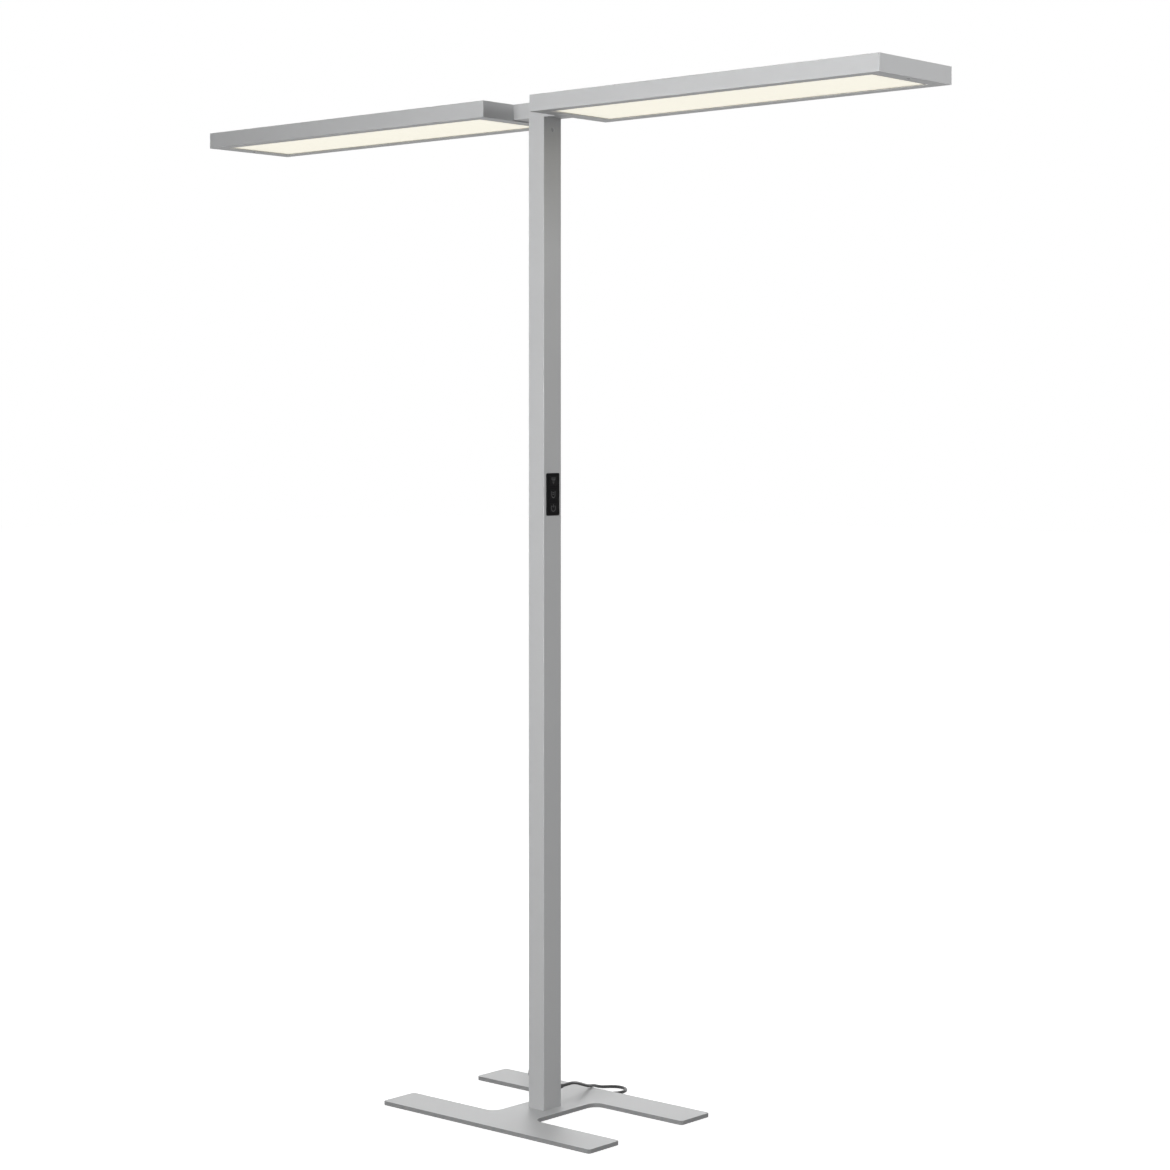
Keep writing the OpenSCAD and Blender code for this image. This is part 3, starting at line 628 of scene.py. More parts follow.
@dataclass(frozen=True)
class TintedLens:
    """Dark tinted lens of the presence sensor, with its fine facets."""

    name: str
    tone: Colour
    shades: Span = (0.7, 1.2)
    facet: float = 1.6 * MM
    depth: float = 0.15 * MM
    roughness: Span = (0.14, 0.26)
    coat: float = 0.3

    def material(self) -> bpy.types.Material:
        """Builds the material.

        Returns:
            The finished material.
        """
        g = Graph(self.name)
        facets = g.cells(self.facet)
        return g.surface(
            Base_Color=g.varied(facets, self.tone, self.shades),
            Roughness=g.between(facets, *self.roughness),
            Coat_Weight=self.coat,
            Normal=g.bump(facets, self.depth),
        )


@dataclass(frozen=True)
class KeyInk:
    """Pale ink printed on a key, slightly uneven as printed marks are."""

    name: str
    tone: Colour
    shades: Span = (0.85, 1.1)
    cover: float = 0.5 * MM
    octaves: float = 3.0
    depth: float = 0.01 * MM
    roughness: Span = (0.5, 0.62)
    shine: float = 0.15

    def material(self) -> bpy.types.Material:
        """Builds the material.

        Returns:
            The finished material.
        """
        g = Graph(self.name)
        cover = g.noise(self.cover, detail=self.octaves)
        return g.surface(
            Base_Color=g.varied(cover, self.tone, self.shades),
            Roughness=g.between(cover, *self.roughness),
            Specular_IOR_Level=self.shine,
            Normal=g.bump(cover, self.depth),
        )


GREY_COAT = (0.545, 0.55, 0.555)

FINISHES: dict[str, Finish] = {
    "light_grey": PowderCoat("grey powder coat", GREY_COAT),
    # The plate's coat carries painted shade on its upright edges.
    "base_steel": PlateCoatWithPaintedShade("grey powder coat on plate", GREY_COAT, grain=0.7 * MM, depth=0.024 * MM),
    "glides": MouldedPlastic("dark glide rubber", (0.02, 0.02, 0.02), roughness=0.75),
    "inner_metal": PlatedMetal("machined blocks", (0.62, 0.62, 0.64), stretch=(30.0, 1.0, 30.0)),
    "carrier_steel": PlatedMetal("plated flat bar", (0.55, 0.55, 0.57)),
    "screws": PlatedMetal("plated screws", (0.38, 0.38, 0.39), roughness=0.42),
    "sheet_metal": PlatedMetal("bare sheet", (0.78, 0.78, 0.79), roughness=0.38),
    "reflector": MouldedPlastic("white reflector", (0.9, 0.9, 0.9), roughness=0.8, depth=0.01 * MM),
    "clear_plastic": ClearSheet("clear light guide", (0.86, 0.92, 0.93)),
    "diffuser": OpalSheet(
        "lit opal sheet", (0.5, 0.49, 0.45), (0.93, 0.89, 0.74), strength=0.7, half_width=85 * MM
    ),
    "led_board": PrintedBoard("light strip board", (0.8, 0.8, 0.74), (0.7, 0.7, 0.62)),
    "white_plastic": MouldedPlastic("white moulding", (0.75, 0.75, 0.74), roughness=0.45),
    "sensor_lens": TintedLens("sensor lens", (0.05, 0.05, 0.052)),
    "cord_jacket": CordJacket("black cord jacket", (0.022, 0.022, 0.023)),
    "tie_fabric": WovenStrap("black strap weave", (0.03, 0.03, 0.032)),
    "black_plastic": MouldedPlastic("black moulding", (0.024, 0.024, 0.025), roughness=0.48),
    "pins": PlatedMetal("nickel pins", (0.72, 0.7, 0.66), roughness=0.22),
    "fascia": MouldedPlastic("dark panel", (0.008, 0.008, 0.0085), depth=0.006 * MM, shine=0.04),
    "board": PrintedBoard("control board", (0.015, 0.11, 0.045), (0.03, 0.17, 0.07)),
    "keys": MouldedPlastic("dark keys", (0.01, 0.01, 0.0105), depth=0.01 * MM, shine=0.05),
}


# ---------------------------------------------------------------- helpers for pieces


class Palette:
    """Makes each finish once, and gives it to the pieces that wear it."""

    def __init__(self, record: dict[str, Any]) -> None:
        """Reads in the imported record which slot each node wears."""
        self.slots = {part["node"]: part["material_slot"] for part in record["subparts"]}
        self.made: dict[str, bpy.types.Material] = {}

    def finish(self, slot: str) -> bpy.types.Material:
        """Gives the material of a slot, made at its first use.

        Args:
            slot: the record's slot.

        Returns:
            The material.
        """
        if slot not in self.made:
            self.made[slot] = FINISHES[slot].material()
        return self.made[slot]

    def dress(self, obj: bpy.types.Object, slot: str) -> None:
        """Gives an object one finish all over."""
        obj.data.materials.clear()
        obj.data.materials.append(self.finish(slot))

    def dress_node(self, obj: bpy.types.Object) -> None:
        """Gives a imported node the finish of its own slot."""
        self.dress(obj, self.slots[obj.name])


@dataclass(frozen=True)
class EdgeBreak:
    """The small round that coated, moulded and machined edges have."""

    width: float
    segments: int = 2
    angle: float = math.radians(28)
    flat: float = math.radians(0.4)
    weld: float = 0.004 * MM

    def apply(self, obj: bpy.types.Object) -> None:
        """Rounds an object's sharp edges by modifiers, and leaves its mesh as it is.

        Args:
            obj: the object.
        """
        weld = obj.modifiers.new("join", "WELD")
        weld.merge_threshold = self.weld
        faces = obj.modifiers.new("whole_faces", "DECIMATE")
        faces.decimate_type = "DISSOLVE"
        faces.angle_limit = self.flat
        bevel = obj.modifiers.new("edge", "BEVEL")
        bevel.width = self.width
        bevel.segments = self.segments
        bevel.limit_method = "ANGLE"
        bevel.angle_limit = self.angle
        bevel.use_clamp_overlap = True
        normals = obj.modifiers.new("normals", "WEIGHTED_NORMAL")
        normals.keep_sharp = False
        shade_smooth(obj)


def shade_smooth(obj: bpy.types.Object) -> None:
    """Shades all of an object's faces smooth."""
    for face in obj.data.polygons:
        face.use_smooth = True


def smooth_by_angle(obj: bpy.types.Object, angle: float = math.radians(35)) -> None:
    """Shades an object smooth except at its sharp edges.

    Args:
        obj: the object.
        angle: above this angle an edge stays sharp.
    """
    shade_smooth(obj)
    split = obj.modifiers.new("sharp", "EDGE_SPLIT")
    split.split_angle = angle
    split.use_edge_sharp = False


def mesh_piece(name: str, fill: MeshCode, smooth: bool = True) -> bpy.types.Object:
    """Makes an object from mesh code.

    Args:
        name: the piece's name.
        fill: what fills the mesh.
        smooth: whether its faces are shaded smooth.

    Returns:
        The object, in the scene.
    """
    mesh = bpy.data.meshes.new(name)
    work = bmesh.new()
    fill(work)
    bmesh.ops.recalc_face_normals(work, faces=work.faces)
    for face in work.faces:
        face.smooth = smooth
    work.to_mesh(mesh)
    work.free()
    obj = bpy.data.objects.new(name, mesh)
    bpy.context.scene.collection.objects.link(obj)
    return obj


def join_rings(work: bmesh.types.BMesh, rings: Sequence[Sequence[Point]], closed: bool = False) -> None:
    """Skins a row of rings of equal count.

    Args:
        work: the mesh.
        rings: the rings' points.
        closed: whether the last ring joins the first; otherwise both ends are capped.
    """
    made = [[work.verts.new(p) for p in ring] for ring in rings]
    pairs = list(zip(made, made[1:]))
    if closed:
        pairs.append((made[-1], made[0]))
    for first, second in pairs:
        count = len(first)
        for k in range(count):
            after = (k + 1) % count
            work.faces.new((first[k], first[after], second[after], second[k]))
    if not closed:
        work.faces.new(made[0][::-1])
        work.faces.new(made[-1])


def report(obj: bpy.types.Object, note: str) -> None:
    """Logs a finished piece, with a note on what was done to it."""
    LOG.info("%s: %s", obj.name, note)


# ---------------------------------------------------------------- hard sub-assemblies


def widths(**millimetres: float) -> Any:
    """Gives a field for the widths of edge rounds, by node, turned into metres."""
    return field(default_factory=lambda: {node: width * MM for node, width in millimetres.items()})


@dataclass
class HardAssembly:
    """Nodes that keep their own shape: each gets its finish, and its edges are broken."""

    nodes: dict[str, bpy.types.Object]
    palette: Palette
    broken: dict[str, float] = field(default_factory=dict)
    plain: tuple[str, ...] = ()

    def dress(self) -> None:
        """Dresses every node of the sub-assembly."""
        for name, width in self.broken.items():
            self.palette.dress_node(self.nodes[name])
            EdgeBreak(width).apply(self.nodes[name])
            report(self.nodes[name], "finished, edges broken")
        for name in self.plain:
            self.palette.dress_node(self.nodes[name])
            report(self.nodes[name], "finished")


@dataclass
class BaseFrame(HardAssembly):
    """The H-shaped plate, its glides and what fastens the post to it."""

    broken: dict[str, float] = widths(base_plate=0.7, base_glides=0.3, foot_block=0.3)
    plain: tuple[str, ...] = ("foot_screws",)


@dataclass
class Post(HardAssembly):
    """The rectangular tube, the block in its top, its set screw and the leads that climb in it."""

    broken: dict[str, float] = widths(post=0.35, top_block=0.3, post_set_screw=0.25)
    plain: tuple[str, ...] = ("supply_lead", "control_lead")


@dataclass
class Crossbar(HardAssembly):
    """The short channel between the heads, its lid, and the flat bar that carries both heads."""

    broken: dict[str, float] = widths(crossbar=0.35, crossbar_lid=0.35, head_carrier=0.4, junction_block=0.4)
    plain: tuple[str, ...] = ("lid_screws", "carrier_post_screws", "carrier_head_screws")


class Side(Enum):
    """The two sides of the lamp."""

    RIGHT = "right"
    LEFT = "left"


@dataclass
class LuminousHead(HardAssembly):
    """One flat head: tray, cover, lit panel and what lies between them."""

    side: Side = Side.RIGHT
    edges: dict[str, float] = widths(frame=0.5, top_cover=0.4, driver=0.8, mount_block=0.4, sensor=0.2)
    flat: tuple[str, ...] = (
        "cover_screws", "back_plate", "reflector", "light_guide", "diffuser", "led_strips", "head_lead",
    )

    def __post_init__(self) -> None:
        """Names this side's nodes."""
        self.broken = {f"{self.side.value}_{name}": width for name, width in self.edges.items()}
        self.plain = tuple(f"{self.side.value}_{name}" for name in self.flat)


# ---------------------------------------------------------------- controls


class Mark(Enum):
    """The marks printed on the keys."""

    UP = "up"
    DOWN = "down"
    POWER = "power"


def level_lines(lines: Iterable[Spot]) -> list[list[Spot]]:
    """Draws level lines, each from its half length and its height."""
    return [[(-half, up), (half, up)] for half, up in lines]


@dataclass
class Controls(HardAssembly):
    """The dark panel on the post's side, with three keys and the marks on them.

    The shapes of the marks are shares of half a mark's size: the power sign's open ring and its bar, the up
    mark's fan of lines, and the down mark's cup with two lines in it.
    """

    broken: dict[str, float] = widths(
        control_fascia=0.4, key_up=0.45, key_down=0.45, key_power=0.45, control_tray=0.25
    )
    plain: tuple[str, ...] = ("control_board", "key_switches")
    marks: dict[str, Mark] = field(
        default_factory=lambda: {"key_up": Mark.UP, "key_down": Mark.DOWN, "key_power": Mark.POWER}
    )
    mark_size: float = 13 * MM
    stroke: float = 1.1 * MM
    mitre: float = 0.5
    ink: float = 0.06 * MM
    ink_tone: Colour = (0.13, 0.13, 0.133)
    arc_steps: int = 28
    ring_gap: float = math.radians(38)
    ring_radius: float = 0.92
    ring_drop: float = 0.1
    bar: Span = (1.05, 0.1)
    fan: tuple[Spot, ...] = ((1.0, 0.85), (0.85, 0.42), (0.62, 0.0), (0.4, -0.42), (0.2, -0.85))
    cup_radius: float = 0.72
    cup_drop: float = 0.25
    cup_top: float = 0.95
    cup_lines: tuple[Spot, ...] = ((0.35, 0.55), (0.35, 0.05))

    def arc(self, radius: float, drop: float, start: float, turn: float) -> list[Spot]:
        """Draws an arc from one angle over a turn, with its centre a drop below the key's middle."""
        angles = [start + turn * k / self.arc_steps for k in range(self.arc_steps + 1)]
        return [(radius * math.cos(a), radius * math.sin(a) - drop) for a in angles]

    def strokes(self, mark: Mark) -> list[list[Spot]]:
        """Gives a mark's strokes.

        Args:
            mark: which mark.

        Returns:
            Lines of points on the key's face, across and up from its middle, in metres.
        """
        if mark is Mark.POWER:
            start, turn = math.pi / 2 + self.ring_gap, 2 * math.pi - 2 * self.ring_gap
            top, bottom = self.bar
            drawn = [self.arc(self.ring_radius, self.ring_drop, start, turn), [(0.0, top), (0.0, bottom)]]
        elif mark is Mark.UP:
            drawn = level_lines(self.fan)
        else:
            cup = self.arc(self.cup_radius, self.cup_drop, math.pi, math.pi)
            left, right = (-self.cup_radius, self.cup_top), (self.cup_radius, self.cup_top)
            drawn = [[left, *cup, right], *level_lines(self.cup_lines)]
        half = self.mark_size / 2
        return [[(across * half, up * half) for across, up in line] for line in drawn]

    def stroke_mesh(self, work: bmesh.types.BMesh, line: Sequence[Spot], face: float, mid: Vector) -> None:
        """Adds one stroke as a thin solid band on the key's face.

        Args:
            work: the mesh.
            line: the stroke's points on the face.
            face: the X of the key's face.
            mid: the middle of the key.
        """
        half = self.stroke / 2
        last = len(line) - 1
        rings = []
        for i in range(last + 1):
            before, here, after = (Vector(line[k]) for k in (max(i - 1, 0), i, min(i + 1, last)))
            arms = [v.normalized() for v in (here - before, after - here) if v.length > TINY]
            along = sum(arms, Vector((0.0, 0.0))).normalized()
            normal = Vector((-along.y, along.x))
            reach = half / max(self.mitre, normal.dot(Vector((-arms[0].y, arms[0].x))))
            left, right = here + normal * reach, here - normal * reach
            section = ((left, -1), (left, 1), (right, 1), (right, -1))
            rings.append([(face + side * self.ink, mid.y + end.x, mid.z + end.y) for end, side in section])
        join_rings(work, rings)

    def mark_mesh(self, mark: Mark, face: float, mid: Vector, work: bmesh.types.BMesh) -> None:
        """Adds all strokes of a mark to its mesh."""
        for line in self.strokes(mark):
            self.stroke_mesh(work, line, face, mid)

    def print_marks(self) -> None:
        """Prints each key's mark, which travels with its key."""
        for node, mark in self.marks.items():
            low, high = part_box(node)
            fill = partial(self.mark_mesh, mark, high.x, (low + high) / 2)
            piece = mesh_piece(f"mark_{mark.value}", fill, smooth=False)
            piece.data.materials.append(KeyInk(f"key ink {mark.value}", self.ink_tone).material())
            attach(piece, f"{node}_body")
            report(piece, "printed on its key")


# ---------------------------------------------------------------- cord


@dataclass
class MainsPlug:
    """The moulded plug: ribbed boot, round body with grip flats and a groove, all in millimetres.

    Each rib's points are shares of the ribs' pitch and heights; the end's points are distances back from the
    plug's end and in from its side.
    """

    entry: Vector
    axis: Vector
    side: Vector
    cord: float
    clearance: float = 0.2
    boot: float = 26.0
    boot_mouth: float = 4.6
    boot_neck: float = 9.6
    lip: float = 0.8
    ribs: int = 6
    ribless: float = 4.0
    rib: tuple[Spot, ...] = ((0.0, 0.0), (0.45, 0.25), (0.6, -0.55), (0.9, -0.4))
    collar: float = 2.6
    collar_rise: float = 0.8
    shoulder: float = 6.4
    shoulder_steps: int = 6
    length: float = 58.0
    across: float = 38.0
    flat_share: float = 0.86
    flats_from: float = 5.6
    flats_to: float = 10.5
    groove: tuple[Spot, ...] = ((9.0, 0.0), (8.6, 0.5), (8.0, 0.5), (7.6, 0.0))
    rim: tuple[Spot, ...] = ((1.2, 0.0), (0.35, 0.35), (0.0, 1.2))
    face: tuple[Spot, ...] = ((0.0, 3.0), (0.8, 3.4))
    face_depth: float = 0.8
    face_middle: float = 0.4
    facets: int = 64

    def profile(self) -> list[Spot]:
        """Gives the plug's outline.

        Returns:
            Pairs of how far along the plug and how far from its axis.
        """
        line = [(0.0, self.cord / 2 + self.clearance), (0.0, self.boot_mouth)]
        pitch = (self.boot - self.ribless) / self.ribs
        for k in range(self.ribs):
            at = self.lip + k * pitch
            reach = self.boot_mouth + (self.boot_neck - self.boot_mouth) * (k + 1) / (self.ribs + 1)
            line += [(at + share * pitch, reach + rise) for share, rise in self.rib]
        neck, radius = self.boot_neck + self.collar_rise, self.across / 2
        line += [(self.boot - self.collar, self.boot_neck), (self.boot, neck)]
        for k in range(1, self.shoulder_steps + 1):
            turn = math.pi / 2 * k / self.shoulder_steps
            at = self.boot + self.shoulder * (1 - math.cos(turn))
            line.append((at, neck + (radius - neck) * math.sin(turn)))
        end = (*self.groove, *self.rim, *self.face)
        line += [(self.length - back, radius - deep) for back, deep in end]
        return [*line, (self.length - self.face_depth, self.face_middle)]

    def fill(self, work: bmesh.types.BMesh) -> None:
        """Fills the plug's mesh.

        Args:
            work: the mesh.
        """
        up = Vector((0, 0, 1))
        flat = self.across / 2 * self.flat_share
        rings = []
        for at, radius in self.profile():
            flattened = self.boot + self.flats_from < at < self.length - self.flats_to
            ring = []
            for k in range(self.facets):
                turn = 2 * math.pi * k / self.facets
                across, lift = radius * math.cos(turn), radius * math.sin(turn)
                if flattened:
                    across = max(-flat, min(flat, across))
                ring.append(self.entry + (self.axis * at + self.side * across + up * lift) * MM)
            rings.append(ring)
        join_rings(work, rings)


@dataclass
class HankStrap:
    """The woven strap round the hank's waist, with its lapped end, all in millimetres."""

    middle: Vector
    along: Vector
    aside: Vector
    half: float
    high: float
    width: float
    thick: float = 1.1
    corner: float = 3.6
    corner_steps: int = 6
    lap: float = 22.0
    lap_steps: int = 8
    lap_thick: float = 0.9
    lap_inset: float = 0.6
    lap_gap: float = 0.02
    lap_lift: float = 0.35

    def line(self, grow: float) -> list[Spot]:
        """Gives the strap's line round the hank.

        Args:
            grow: how far outside the inner line it lies.

        Returns:
            Points across the hank and up, from the middle of the top round to it again.
        """
        corner = self.corner + grow
        wide, tall = self.half + grow, self.high / 2 + grow
        points = [(0.0, tall)]
        for cx, cy, first in ((-1, 1, 90), (-1, -1, 180), (1, -1, 270), (1, 1, 0)):
            for k in range(self.corner_steps + 1):
                turn = math.radians(first + 90 * k / self.corner_steps)
                across = cx * (wide - corner) + corner * math.cos(turn)
                points.append((across, cy * (tall - corner) + corner * math.sin(turn)))
        return points

    def band(
        self, work: bmesh.types.BMesh, lines: Sequence[Sequence[Spot]], inset: float, closed: bool
    ) -> None:
        """Adds a band between an inner and an outer line.

        Args:
            work: the mesh.
            lines: the inner line and the outer one.
            inset: how much narrower than the strap the band is, on each side.
            closed: whether the band runs all the way round.
        """
        reach = self.width / 2 - inset
        rings = []
        for (ax, az), (bx, bz) in zip(*lines):
            section = ((ax, az, -reach), (bx, bz, -reach), (bx, bz, reach), (ax, az, reach))
            rings.append([
                (self.middle + self.aside * x + self.along * y + Vector((0, 0, z))) * MM
                for x, z, y in section
            ])
        join_rings(work, rings, closed=closed)

    def fill(self, work: bmesh.types.BMesh) -> None:
        """Fills the strap's mesh: the band round the hank, and the lap on its top, raised at its end.

        Args:
            work: the mesh.
        """
        self.band(work, (self.line(0.0), self.line(self.thick)), inset=0.0, closed=True)
        top = self.high / 2 + self.thick + self.lap_gap
        under, over = [], []
        for k in range(self.lap_steps + 1):
            across = -self.lap / 2 + self.lap * k / self.lap_steps
            lift = self.lap_lift if k == self.lap_steps else 0.0
            under.append((across, top + lift))
            over.append((across, top + self.lap_thick + lift))
        self.band(work, (under, over), inset=self.lap_inset, closed=False)


@dataclass
class MainsCord:
    """The mains cord: its free run, and the hank that it is put away in, all in millimetres."""

    nodes: dict[str, bpy.types.Object]
    palette: Palette
    diameter: float = 6.2
    route: tuple[Point, ...] = (
        (0, 50, 41), (0, 58, 41), (-0.4, 68, 41.2), (-2, 80, 40.5), (-5, 93, 38), (-9, 106, 34.4),
        (-14, 120, 29.8), (-19.3, 134, 24.8), (-24.4, 148, 19.8), (-28.8, 162, 15.8), (-32, 174, 13.4),
        (-33.6, 184, 11.2), (-33.9, 194.5, 7.8), (-32.7, 205.2, 5), (-29.5, 215.6, 3.7), (-23.8, 224.4, 3.2),
        (-15.2, 230.4, 3.2), (-5, 232.5, 3.2), (5.2, 230.5, 3.2), (13.8, 224.7, 3.2), (19.5, 216, 3.2),
        (21.5, 205.8, 3.2), (19.4, 195.7, 3.2), (13.5, 187.2, 3.2), (4.8, 181.8, 3.2), (-5.6, 179.5, 3.2),
        (-16.5, 179, 3.2), (-34, 179, 3.2), (-58, 179, 3.2), (-82, 179, 3.2), (-108, 179, 3.2),
        (-122, 181, 3.4), (-133, 186.5, 3.8), (-142.5, 194.5, 4.3), (-150.6, 203, 4.6), (-160, 213.8, 4.7),
        (-170.5, 225.8, 4.7), (-177.5, 233.8, 4.7), (-183, 240, 4.7),
    )
    tail: tuple[Point, ...] = (
        (0, 0, 0), (6, 0, 0), (14, 1.2, 0.4), (24, 5.3, 2), (34, 9.4, 3.7), (42, 10.6, 4.1),
        (48, 10.6, 4.1),
    )
    curve_steps: int = 6
    round_steps: int = 4
    heading: float = math.atan(22 / 25)
    run: float = 115.0
    inner_radius: float = 18.6
    pitch: float = 7.1
    waist: float = 0.06
    layer_gap: float = 0.6
    turns: tuple[int, ...] = (26, 36, 36, 14)
    run_rings: int = 4
    fold_rings: int = 8
    ring_steps: int = 4
    strap_width: float = 14.0
    strap_clearance: float = 0.3
    tie_wall: float = 1.2
    gland_edge: float = 0.35

    @property
    def loop_rings(self) -> int:
        """How many rings one loop of the hank has."""
        return 2 * (self.run_rings + self.fold_rings)

    @property
    def ring_marks(self) -> tuple[int, ...]:
        """The rings at which a layer of the hank ends and the next one begins."""
        return tuple(accumulate(self.turns[:-1]))

    @property
    def along(self) -> Vector:
        """The direction of the hank's first run."""
        return Vector((-math.sin(self.heading), math.cos(self.heading), 0.0))

    @property
    def aside(self) -> Vector:
        """The direction across the hank's runs."""
        return Vector((math.cos(self.heading), math.sin(self.heading), 0.0))

    def smooth(self, points: Sequence[Sequence[float]]) -> list[Vector]:
        """Runs a smooth curve through points.

        Args:
            points: the points.

        Returns:
            More points along the curve.
        """
        pts = [Vector(p) for p in points]
        last = len(pts) - 1
        path = []
        for i in range(last):
            a, b, c, d = pts[max(i - 1, 0)], pts[i], pts[i + 1], pts[min(i + 2, last)]
            for k in range(self.curve_steps):
                t = k / self.curve_steps
                path.append(
                    0.5 * (2 * b + (c - a) * t + (2 * a - 5 * b + 4 * c - d) * t * t
                           + (3 * b - a - 3 * c + d) * t * t * t)
                )
        return [*path, pts[last]]

    def spiral_out(self, ring: float) -> float:
        """How far outside the innermost loop a ring lies, in rings of the steady spiral."""
        first, second, third = self.ring_marks
        return abs(ring - first) if ring <= second else abs(ring - third)

    def layers_up(self, ring: float) -> float:
        """How many layers above the first a ring lies."""
        return sum(min(max((ring - mark) / self.run_rings + 0.5, 0.0), 1.0) for mark in self.ring_marks)

    def ring_place(self, ring: float) -> Vector:
        """Gives one place of the hank's winding.

        Args:
            ring: how far along the winding it lies, in rings.

        Returns:
            Along the hank from its middle, across it and up.
        """
        j = ring % self.loop_rings
        half = self.run / 2
        radius = self.inner_radius + self.spiral_out(ring) * self.pitch / self.loop_rings
        runs, folds = self.run_rings, self.fold_rings
        if j <= runs:
            u, v = -half + self.run * j / runs, radius
        elif j <= runs + folds:
            turn = math.pi * (j - runs) / folds
            u, v = half + radius * math.sin(turn), radius * math.cos(turn)
        elif j <= 2 * runs + folds:
            u, v = half - self.run * (j - runs - folds) / runs, -radius
        else:
            turn = math.pi * (j - 2 * runs - folds) / folds
            u, v = -half - radius * math.sin(turn), -radius * math.cos(turn)
        if abs(u) < half:
            v *= 1 - self.waist * math.cos(math.pi / 2 * u / half) ** 2
        return Vector((u, v, self.layers_up(ring) * (self.diameter + self.layer_gap)))

    def winding(self) -> list[Vector]:
        """Gives the places of the whole winding, each in the way of ring_place."""
        count = sum(self.turns) * self.ring_steps
        return [self.ring_place(i / self.ring_steps) for i in range(count + 1)]

    def placed(self, at: Vector) -> Vector:
        """Moves a place of the winding into the lamp's frame.

        Args:
            at: the place, along the hank from its middle, across it and up.

        Returns:
            The place in the lamp's frame.
        """
        first = self.ring_place(0.0)
        start = Vector(self.route[-1])
        return start + (at.x - first.x) * self.along + (at.y - first.y) * self.aside + Vector((0, 0, at.z))

    def path(self) -> list[Vector]:
        """Gives the whole cord's centreline, with one straight diameter between the hank and the tail.

        Returns:
            Its points from the strain relief to the plug, in metres.
        """
        wound = self.winding()
        wound.append(wound[-1] - Vector((self.diameter, 0, 0)))
        hank = [self.placed(at) for at in wound]
        tail = [hank[-1] - q[0] * self.along + q[1] * self.aside + Vector((0, 0, q[2])) for q in self.tail]
        whole = [*self.smooth(self.route), *hank[1:], *self.smooth(tail)[1:]]
        return [p * MM for p in whole]

    def build_cord(self, path: Sequence[Vector]) -> bpy.types.Object:
        """Builds the cord as one round curve.

        Args:
            path: its centreline.

        Returns:
            The cord.
        """
        curve = bpy.data.curves.new("mains_cord", "CURVE")
        curve.dimensions = "3D"
        curve.bevel_depth = self.diameter / 2 * MM
        curve.bevel_resolution = self.round_steps
        curve.use_fill_caps = True
        line = curve.splines.new("POLY")
        line.points.add(len(path) - 1)
        for point, at in zip(line.points, path):
            point.co = (*at, 1.0)
        cord = bpy.data.objects.new("mains_cord", curve)
        bpy.context.scene.collection.objects.link(cord)
        curve.materials.append(self.palette.finish("cord_jacket"))
        return cord

    def build_plug(self, entry: Vector) -> bpy.types.Object:
        """Builds the moulded plug.

        Args:
            entry: where the cord enters it.

        Returns:
            The plug.
        """
        shape = MainsPlug(entry=entry, axis=-self.along, side=self.aside, cord=self.diameter)
        plug = mesh_piece("mains_plug_moulding", shape.fill)
        self.palette.dress(plug, "black_plastic")
        smooth_by_angle(plug)
        return plug

    def build_strap(self) -> bpy.types.Object:
        """Builds the strap, as high as its node and as wide as the hank's waist asks for.

        Returns:
            The strap.
        """
        low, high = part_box("cord_tie")
        near = [at.y for at in self.winding() if abs(at.x) < self.strap_width]
        middle = self.placed(Vector((0, (max(near) + min(near)) / 2, 0)))
        middle.z = (low.z + high.z) / 2 / MM
        margin = self.diameter / 2 + self.strap_clearance
        shape = HankStrap(
            middle=middle,
            along=self.along,
            aside=self.aside,
            half=(max(near) - min(near)) / 2 + margin,
            high=high.z / MM - low.z / MM - 2 * self.tie_wall,
            width=self.strap_width,
        )
        strap = mesh_piece("hank_strap", shape.fill)
        self.palette.dress(strap, "tie_fabric")
        smooth_by_angle(strap)
        return strap

    def make(self) -> None:
        path = self.path()
        length = sum((b - a).length for a, b in zip(path, path[1:]))
        cord = self.build_cord(path)
        plug = self.build_plug(path[-1])
        strap = self.build_strap()
        for name in ("plug_pins", "cord_gland"):
            self.palette.dress_node(self.nodes[name])
            report(self.nodes[name], "finished")
        EdgeBreak(self.gland_edge * MM).apply(self.nodes["cord_gland"])
        smooth_by_angle(self.nodes["plug_pins"])
        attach(cord, LAMP_BODY)
        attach(plug, LAMP_BODY)
        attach(strap, LAMP_BODY)
        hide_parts("cord_run", "cord_hank", "cord_tail")
        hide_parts("mains_plug")
        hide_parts("cord_tie")
        report(cord, f"{length:.2f} m long")
        report(plug, "moulded round the cord's end")
        report(strap, "closed round the hank")


# ---------------------------------------------------------------- studio


@dataclass
class SoftLamp:
    """A large soft lamp of the studio, in metres, watts and degrees."""

    name: str
    place: Point
    aim: Point
    size: tuple[float, float]
    power: float
    spread: float = 180.0

    def make(self) -> None:
        """Hangs the lamp."""
        data = bpy.data.lights.new(self.name, "AREA")
        data.shape = "RECTANGLE"
        data.size, data.size_y = self.size
        data.energy = self.power
        data.spread = math.radians(self.spread)
        obj = bpy.data.objects.new(self.name, data)
        bpy.context.scene.collection.objects.link(obj)
        obj.location = self.place
        obj.visible_camera = False
        obj.rotation_euler = (Vector(self.aim) - Vector(self.place)).to_track_quat("-Z", "Y").to_euler()
        LOG.info("%s hung", self.name)


